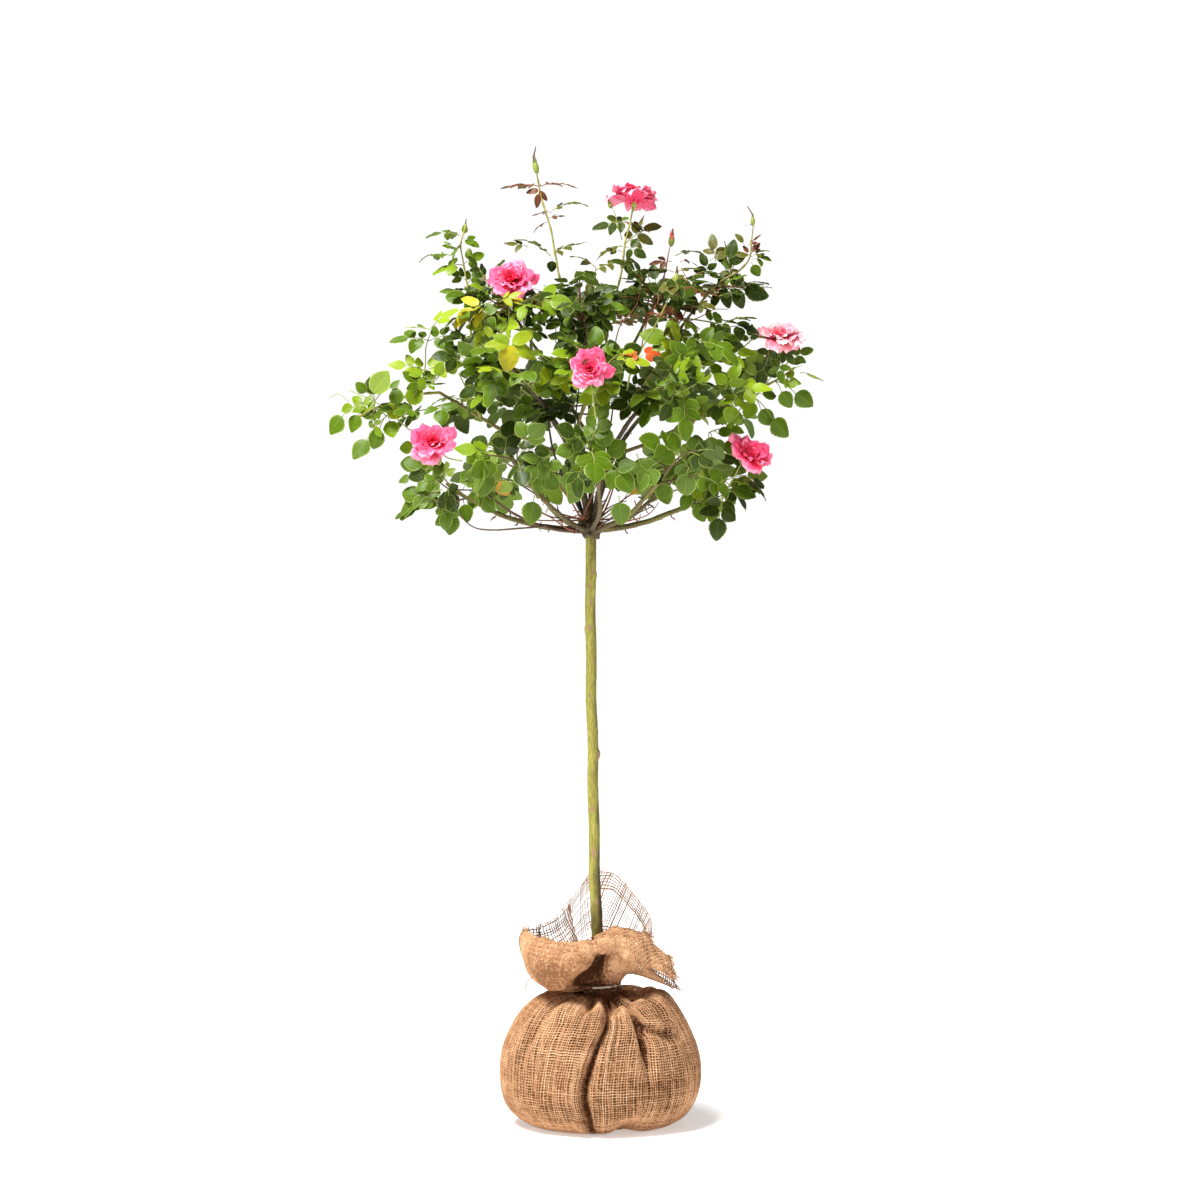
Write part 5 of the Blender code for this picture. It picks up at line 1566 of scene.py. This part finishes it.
def folded_collar(u, v):
    """The collar's grid with pleats that fade away from the neck and soft waves that grow towards the rim."""
    step = np.clip(v / RIM_ROW, 0, 1)
    pleats = 0.0022 * (1 - step) ** 1.5 * np.cos(2 * math.pi * u * 0.9 + 1.5 * np.sin(u))
    waves = 0.0022 * step * np.sin(2.7 * u + 0.8 * v) + 0.0014 * step * np.sin(5.3 * u - 1.1 * v)
    return pushed(lambda a, b: through_grid(COLLAR_GRID, a, b, True), u, v, pleats + waves)


def folded_flap(u, v):
    """The flap's grid with soft waves."""
    waves = 0.0016 * np.sin(3.1 * u + 1.3 * v) + 0.0010 * np.sin(6.1 * u - 2.0 * v)
    return pushed(lambda a, b: through_grid(FLAP_GRID, a, b, False), u, v, waves)


BODY_BORDERS = (-66, -28, 8, 40, 72, 104, 138, 172, 210, 232)  # and the deepest crease, below
COLLAR_BORDERS = (3.6, 5.4, 7.4, 8.6, 10.5, 12.4, 15.7, 17.4, 18.9, 20.3, 21.6)  # in columns
FINE_CLOTH = (12.4, 17.4)  # columns of the flap whose threads have spread into a fine open net
FINE_PITCH, FINE_WIDTH = 0.0036, 0.00105
DENSE_PITCH = 0.0038  # of the gathered cloth above the tie
POCKET = (4.25, 6.9, 4.6)  # columns between which the cloth folds into a pocket that gets painted shade, and the row where that shade ends


def surface_axes(surface, u, v, nudge, step):
    """Points of a surface and its unit directions round, along and outwards, by differences."""
    around = unit(surface(u + nudge, v) - surface(u - nudge, v))
    onward = unit(surface(u, v + step) - surface(u, v - step))
    return surface(u, v), around, onward, unit(np.cross(around, onward))


def add_weave(heap, points, around, onward, normal, valid, width, openness, random, vary=0.10, painted_shade=0.0):
    """Plain weave on a grid of crossings: a thread along every row and every column, each a ribbon with a
    raised middle that goes over and under in turn. Where the cloth is open some threads are missing."""
    rows, columns = valid.shape
    over = np.where(np.add.outer(np.arange(rows), np.arange(columns)) % 2, 1.0, -1.0)
    shade = 2 + 1.1 * lattice_noise(points, 0.020, 21) + random.normal(0, 0.45, valid.shape) + 0.5 * openness
    # painted shade: threads in deep folds, the pocket and near the tie take darker tints, up to the darkest
    # one
    shade = shade + 3.2 * painted_shade
    for kind, across in (("column", around), ("row", onward)):
        lift = THREAD_RISE * over * (1 if kind == "column" else -1)
        each = (1, columns) if kind == "column" else (rows, 1)
        broad = random.normal(1.0, vary, each).clip(max(0.4, 1 - 3 * vary), min(2.0, 1 + 4 * vary))
        here = valid & (openness < random.uniform(0.45, 1.6, each))
        tone = np.rint(shade + random.normal(0, 0.62, each)).clip(0, 4 + (painted_shade > 0.5)).astype(int)
        half = (width * broad * (1 + random.normal(0, 0.07, valid.shape)) / 2)[..., None]
        raised = points + normal * (lift + THREAD_RIDGE / 2)[..., None]
        sunk = points + normal * (lift - THREAD_RIDGE / 2)[..., None]
        strand = np.stack((sunk - across * half, raised, sunk + across * half), 2)
        number = np.arange(rows * columns * 3).reshape(rows, columns, 3)
        if kind == "column":
            near, far, good, tone = number[:-1], number[1:], here[:-1] & here[1:], tone[:-1]
        else:
            far, near = number[:, :-1], number[:, 1:]
            good, tone = here[:, :-1] & here[:, 1:], tone[:, :-1]
        quads = [np.stack((near[..., k], near[..., k + 1], far[..., k + 1], far[..., k]), -1) for k in (0, 1)]
        faces = np.concatenate([quad[good] for quad in quads])
        if not len(faces):
            continue
        used, packed = np.unique(faces, return_inverse=True)
        heap.add(strand.reshape(-1, 3)[used], packed.reshape(faces.shape), np.tile(tone[good], 2))


def panel_grid(surface, along, left, right, nudge, step, random, pitch=PITCH):
    """The crossings of one panel: on each row, columns at even distances along the cloth from the panel's
    middle line, cut at its borders."""
    share = np.linspace(-0.08, 1.08, 60)
    fine = left[:, None] + (right - left)[:, None] * share
    line = surface(fine, along[:, None] + 0 * fine)
    reach = walked(line)
    first, centre, last = (
        np.array([np.interp(place, share, row) for row in reach])[:, None] for place in (0.0, 0.5, 1.0)
    )
    first, last = first - centre, last - centre
    count = int(np.ceil(max(last.max(), -first.min()) / pitch)) + 1
    offset = np.arange(-count, count + 1) * pitch
    offset = offset + random.normal(0, 0.10 * pitch, len(offset))
    number = np.arange(len(along))[:, None]
    drift = 0.16 * pitch * np.sin(number * 0.22 + offset[None] * 400)
    spots = offset[None] + drift
    u = np.array([np.interp(spot, row, places) for spot, row, places in zip(spots, reach - centre, fine)])
    wander = 0.13 * np.gradient(along)[:, None] * np.sin(offset[None] * 260 + number * 0.9)
    v = along[:, None] + wander
    valid = (offset[None] > first - OVERLAP * pitch) & (offset[None] < last + OVERLAP * pitch)
    return (*surface_axes(surface, u, v, nudge, step), valid), u, v


def even_rows(surface, u, first, last, pitch=PITCH):
    """Values of v from first to last at every pitch along the cloth, on the line u."""
    fine = np.linspace(first, last, 400)
    reach = walked(surface(np.full(400, u), fine))
    return np.interp(np.arange(0, reach[-1], pitch), reach, fine)


def add_ball_weave(heap, random):
    """The cloth of the ball in panels between its borders, more open in some patches than in others."""
    along = np.arange(PITCH / 2, BODY_LENGTH, PITCH)
    level = np.interp(along, BODY_REACH, BODY_TABLE[:, 1])
    deep = np.array(CREASES[0][0])[::-1]
    borders = [np.interp(level, deep[:, 0], deep[:, 1])]
    borders += [np.full(len(along), float(degrees)) for degrees in BODY_BORDERS]
    borders.append(borders[0] + 360)
    borders = [np.radians(border) for border in borders]
    for left, right in zip(borders, borders[1:]):
        grid, turn, _ = panel_grid(body_surface, along, left, right, 0.004, 0.001, random)
        width = THREAD_WIDTH * (0.80 - 0.20 * lattice_noise(grid[0], 0.034, 14))
        radius, level = np.hypot(grid[0][..., 0], grid[0][..., 1]), grid[0][..., 2]
        # Painted shade: threads darker in deep creases and on the top of the ball near the neck.
        painted_shade = rising(crease_depth(turn, radius, level), 0.004, 0.010)
        painted_shade = np.maximum(painted_shade, falling(radius, 0.058, 0.020) * (level > 0.1))
        add_weave(heap, *grid, width, np.zeros_like(width), random, painted_shade=painted_shade)


def add_under_weave(heap, random):
    """Flat cloth under the ball, cut to a disc."""
    count = int(UNDER_RADIUS / UNDER_PITCH) + 2
    spots = np.arange(-count, count + 1) * UNDER_PITCH
    x, y = np.meshgrid(spots, spots)
    points = np.stack((x, y, np.full_like(x, UNDER_LEVEL)), -1)
    fixed = [np.zeros_like(points) + axis for axis in ((1, 0, 0), (0, -1, 0), (0, 0, -1))]
    valid = np.hypot(x, y) < UNDER_RADIUS + 0.6 * UNDER_PITCH
    add_weave(heap, points, *fixed, valid, np.full(x.shape, 0.7 * UNDER_PITCH), 0 * x, random)


OPEN_CLOTH = (  # columns between which the cloth opens, the row where that starts, how open it gets
    (12.2, 17.4, 1.6, 0.46), (17.2, 20.6, 2.4, 0.66), (9.0, 12.2, 1.6, 0.45),
)
DENSE_CLOTH = (0.4, 8.8)  # columns between which the cloth is pulled tight
STRAND_SHARE = 0.26  # radius of a loose thread's end, as a share of the thread's width in the cloth
# how much painted shade falls on the front of the collar's left lobe
LOBE_PAINTED_SHADE = 0.45


def openness_of(u, v):
    """How open the collar's cloth is, from 0 to 1."""
    u = np.mod(u - 1, len(COLLAR_TURNS)) + 1
    value = np.zeros(np.broadcast(u, v).shape)
    for low, high, start, most in OPEN_CLOTH:
        inside = rising(u, low, 0.5) * falling(u, high, 0.5)
        value = np.maximum(value, most * inside * rising(v, start, 1.2))
    return value


def collar_painted_shade(u, v):
    """How much painted shade darkens the collar's cloth: deep in the pocket, near the tie and on the left
    lobe.
    """
    pocket = rising(u, POCKET[0], 0.3) * falling(u, POCKET[1], 0.4)
    painted_shade = np.maximum(pocket * falling(v, POCKET[2], 1), 0.8 * falling(v, 1.4, 1))
    ring = np.mod(u, len(COLLAR_TURNS))
    lobe = rising(ring, 1.0, 1) * (ring < POCKET[1]) * rising(v, 0.6, 1) * falling(v, 5.2, 1)
    return np.maximum(painted_shade, LOBE_PAINTED_SHADE * lobe)


def add_collar_weave(heap, ends, random):
    """The loose cloth above the tie. ends collects where its lengthwise threads stop at the rim."""
    for left, right in zip(COLLAR_BORDERS, (*COLLAR_BORDERS[1:], COLLAR_BORDERS[0] + len(COLLAR_TURNS))):
        middle = (left + right) / 2 % len(COLLAR_TURNS)
        rolled = ROLLED[0] - 0.6 < middle < ROLLED[-1] + 0.6
        fine = FINE_CLOTH[0] < middle < FINE_CLOTH[1]
        pitch = FINE_PITCH if fine else DENSE_PITCH
        along = even_rows(folded_collar, middle, 0.02, LIP_ROW - 0.1 if rolled else RIM_ROW, pitch)
        flat = np.ones(len(along))
        grid, u, v = panel_grid(folded_collar, along, left * flat, right * flat, 0.02, 0.02, random, pitch)
        openness = openness_of(u, v)
        ring = np.mod(u, len(COLLAR_TURNS))
        tight = np.clip(np.minimum(ring - DENSE_CLOTH[0], DENSE_CLOTH[1] - ring) / 0.6, 0, 1)
        width = THREAD_WIDTH * pitch / PITCH * (1 + 0.50 * tight - 0.42 * openness)
        if fine:
            width = FINE_WIDTH * (1 + np.clip(2.4 - v, 0, 1.4))
        add_weave(heap, *grid, width, openness, random, 0.60 if fine else 0.10, collar_painted_shade(u, v))
        if not rolled:
            collect_ends(ends, grid, width)
    along = even_rows(folded_flap, 2.5, 0.0, 4.0, DENSE_PITCH)
    flat = np.ones(len(along))
    for left, right in ((0.0, 2.5), (2.5, 5.0)):
        borders = left * flat, right * flat
        grid, u, v = panel_grid(folded_flap, along, *borders, 0.02, 0.02, random, DENSE_PITCH)
        width = THREAD_WIDTH * DENSE_PITCH / PITCH * (1.40 - 0.3 * rising(u, 4.2, 1))
        add_weave(heap, *grid, width, 0.0 * u, random)
    points, around, onward, _, valid = grid
    tip = valid & ~np.roll(valid, -1, 1)
    tip[:, :-3] &= ~valid[:, 3:]
    ends.append((points[tip], around[tip], onward[tip], width[tip], np.full(tip.sum(), 1)))
    collect_ends(ends, [part[:, 12:] for part in grid], width[:, 12:])


def collect_ends(ends, grid, width):
    """Notes where the last row's threads stop: points, ways on and round, widths and tones."""
    points, around, onward, _, valid = (part[-1] for part in grid)
    ends.append((points[valid], onward[valid], around[valid], width[-1][valid], np.full(valid.sum(), 2)))


def add_fringe(heap, ends, random):
    """Loose thread ends past the rim, each bending its own way, and cross threads that hang on by one end."""
    points, onward, around, width, tones = (np.concatenate(column) for column in zip(*ends))
    for pull in (1.0, 0.55):
        count = len(points)
        length = random.uniform(0.004, 0.019, count)[:, None, None] * pull
        t = np.linspace(0, 1, 6)[None, :, None]
        bend = random.normal(0, 0.45, (count, 1, 3)) - UP * 0.15
        paths = points[:, None] + length * (onward[:, None] * t + bend * t**2)
        paths = paths + (around * random.uniform(-0.0015, 0.0015, count)[:, None])[:, None]
        radii = width[:, None] * STRAND_SHARE * np.linspace(1, 0.4, 6)[None]
        heap.add_tubes(paths, radii, 4, tones)
    some = random.choice(len(points), len(points) // 3, replace=False)
    t = np.linspace(-0.5, 0.5, 6)[None, :, None]
    length = random.uniform(0.006, 0.016, len(some))[:, None, None]
    rise = random.uniform(0.001, 0.007, len(some))[:, None, None]
    paths = points[some][:, None] + around[some][:, None] * length * t + onward[some][:, None] * rise
    paths = paths + random.normal(0, 0.0006, paths.shape)
    heap.add_tubes(paths, width[some][:, None] * STRAND_SHARE * np.ones((1, 6)), 4, tones[some])


LOOSE_THREADS = (  # thickness in metres and points in mm of long threads that have come out of the lobe
    (0.0016, ((-50, -98, 267), (-60, -100, 262), (-74, -98, 254), (-88, -90, 242), (-100, -78, 228),
              (-107.5, -70, 218.5), (-110, -66, 208))),
    (0.0013, ((-46, -100, 272), (-58, -106, 268), (-70, -104, 261), (-80, -100, 259), (-77, -101, 266),
              (-64, -102, 270))),
    (0.0012, ((-48, -101, 268), (-62, -105, 266), (-78, -102, 264), (-88, -95, 260))),
)


def add_loose_threads(heap):
    """Long threads of one thickness along their given points."""
    count = 30
    for thick, points in LOOSE_THREADS:
        path = smooth_path(np.array(points) / 1000, count)
        heap.add_tubes(path[None], np.full((1, count), thick / 2), 6, 3)


def make_sacking():
    """The square of sacking that wraps the ball, as threads, and its frayed edge."""
    random = np.random.default_rng(31)
    paints = [
        plain(f"jute_{order}", shade, 0.85, 0.0009, 0.0004, 0.15) for order, shade in enumerate(JUTE_TINTS)
    ]
    cloth, fringe, ends = Heap(), Heap(), []
    add_ball_weave(cloth, random)
    add_under_weave(cloth, random)
    add_collar_weave(cloth, ends, random)
    add_fringe(fringe, ends, random)
    add_loose_threads(fringe)
    sacking = cloth.piece("sacking_cloth", paints, "sacking", ("sacking_wrap", "sacking_collar"))
    frayed = fringe.piece("sacking_fringe", paints, "sacking")


SOIL_INSET = 0.0040  # of the soil behind the cloth
SOIL_FOOT, SOIL_TOP = 0.0030, 0.1862  # heights


def make_soil():
    """The moist ball inside the cloth: the cloth's own surface, drawn in, with crumbs."""
    heap = Heap()
    rows, sides = 84, 120
    turn, along = np.meshgrid(round_turns(sides), np.linspace(0.004, BODY_LENGTH - 0.025, rows))
    points = body_surface(turn, along, SOIL_INSET)
    points[..., 2] = np.clip(points[..., 2], SOIL_FOOT, SOIL_TOP)
    points = points * (1 + 0.006 * lattice_noise(points, 0.012, 4)[..., None] * (1, 1, 0))
    heap.add(points, grid_faces(rows, sides, closed=True), 0)
    top, faces = ring_cap(np.array((0, 0, SOIL_TOP)), points[-1])
    heap.add(top, faces[:, ::-1], 0)
    under, faces = ring_cap(np.array((0, 0, SOIL_FOOT)), points[0])
    heap.add(under, faces, 0)
    heap.piece("soil_ball", [soil_material()], "soil", ("root_ball",))


TIE_RADIUS = NECK_RADIUS + 0.0022
TIE_STRAND = 0.0011  # radius of one strand


def make_tie():
    """Two thin strands twisted round each other, tight round the gathered neck."""
    heap = Heap()
    count = 240
    turn = np.linspace(0, 2 * math.pi, count)
    for strand in (0, math.pi):
        twist = 34 * turn + strand
        spread = TIE_RADIUS + 0.0008 * np.cos(17 * turn) + TIE_STRAND * 0.6 * np.cos(twist)
        level = NECK_HEIGHT + 0.0016 * np.cos(turn) + TIE_STRAND * 0.6 * np.sin(twist)
        path = np.column_stack((spread * np.cos(turn), spread * np.sin(turn), level))
        heap.add_tubes(path[None], np.full((1, count), TIE_STRAND), 7, 0)
    heap.piece("neck_twine", [plain("pale_twine", TWINE_GREY, 0.7, 0.0008, 0.0002)], "twine", ("neck_tie",))


# ---- Studio ----

CAMERA_DISTANCE, CAMERA_HEIGHT, CAMERA_LENS = 4.2, 0.783, 84.0
KEY_POWER, KEY_SIZE, KEY_PLACE = 360.0, 1.4, (-1.5, -1.5, 4.3)
FILL_POWER, FILL_SIZE, FILL_PLACE = 16.0, 2.4, (2.2, -2.8, 1.8)
WORLD_LIGHT, WORLD_SEEN = 0.23, 1.05  # strength of the surround as light, and as the camera sees it
FLOOR_HALF = 12.0
FLOOR_GLOW = {"From Min": 0.16, "From Max": 0.60, "To Min": 0.40, "To Max": 0.90}  # metres, then the glow


def make_floor():
    """A pale floor, wide enough for every view."""
    steps = 25
    x, y = np.meshgrid(*[np.linspace(-FLOOR_HALF, FLOOR_HALF, steps)] * 2)
    points = np.stack((x, y, 0 * x), -1).reshape(-1, 3)
    mesh = bpy.data.meshes.new("studio_floor")
    mesh.from_pydata(points.tolist(), [], grid_faces(steps, steps).tolist())
    mesh.materials.append(floor_material())
    floor = bpy.data.objects.new("studio_floor", mesh)
    bpy.context.scene.collection.objects.link(floor)


def aim(thing, place, at):
    """Puts a light or camera at place, its -Z axis towards the point at."""
    sight = mathutils.Vector(at) - mathutils.Vector(place)
    thing.location = place
    thing.rotation_euler = sight.to_track_quat("-Z", "Y").to_euler()


def add_area_light(name, power, size, place, at):
    """A square light of this size, turned towards the point at."""
    lamp = bpy.data.lights.new(name, "AREA")
    lamp.energy, lamp.size = power, size
    thing = bpy.data.objects.new(name, lamp)
    bpy.context.scene.collection.objects.link(thing)
    aim(thing, place, at)


def make_studio():
    """White surround, a soft key light from the upper left, a weak fill and the camera."""
    scene = bpy.context.scene
    scene.view_settings.view_transform = "Standard"
    world = bpy.data.worlds.new("white_surround")
    world.use_nodes = True
    tree = world.node_tree
    background = tree.nodes["Background"]
    background.inputs["Color"].default_value = (1.0, 1.0, 1.0, 1.0)
    seen = new_node(tree, "LightPath")
    strength = new_node(tree, "MapRange", **{"To Min": WORLD_LIGHT, "To Max": WORLD_SEEN})
    tree.links.new(seen.outputs["Is Camera Ray"], strength.inputs["Value"])
    tree.links.new(strength.outputs["Result"], background.inputs["Strength"])
    scene.world = world
    add_area_light("key_light", KEY_POWER, KEY_SIZE, KEY_PLACE, (0, 0, 0.9))
    add_area_light("fill_light", FILL_POWER, FILL_SIZE, FILL_PLACE, (0, 0, 0.8))
    camera = bpy.data.objects.new("camera", bpy.data.cameras.new("camera"))
    camera.data.lens = CAMERA_LENS
    camera.data.sensor_width = 36.0
    scene.collection.objects.link(camera)
    aim(camera, (0, -CAMERA_DISTANCE, CAMERA_HEIGHT), (0, 0, CAMERA_HEIGHT))
    scene.camera = camera


make_studio()
make_floor()
make_bark()
make_leaves()
make_blooms()
make_soil()
make_sacking()
make_tie()
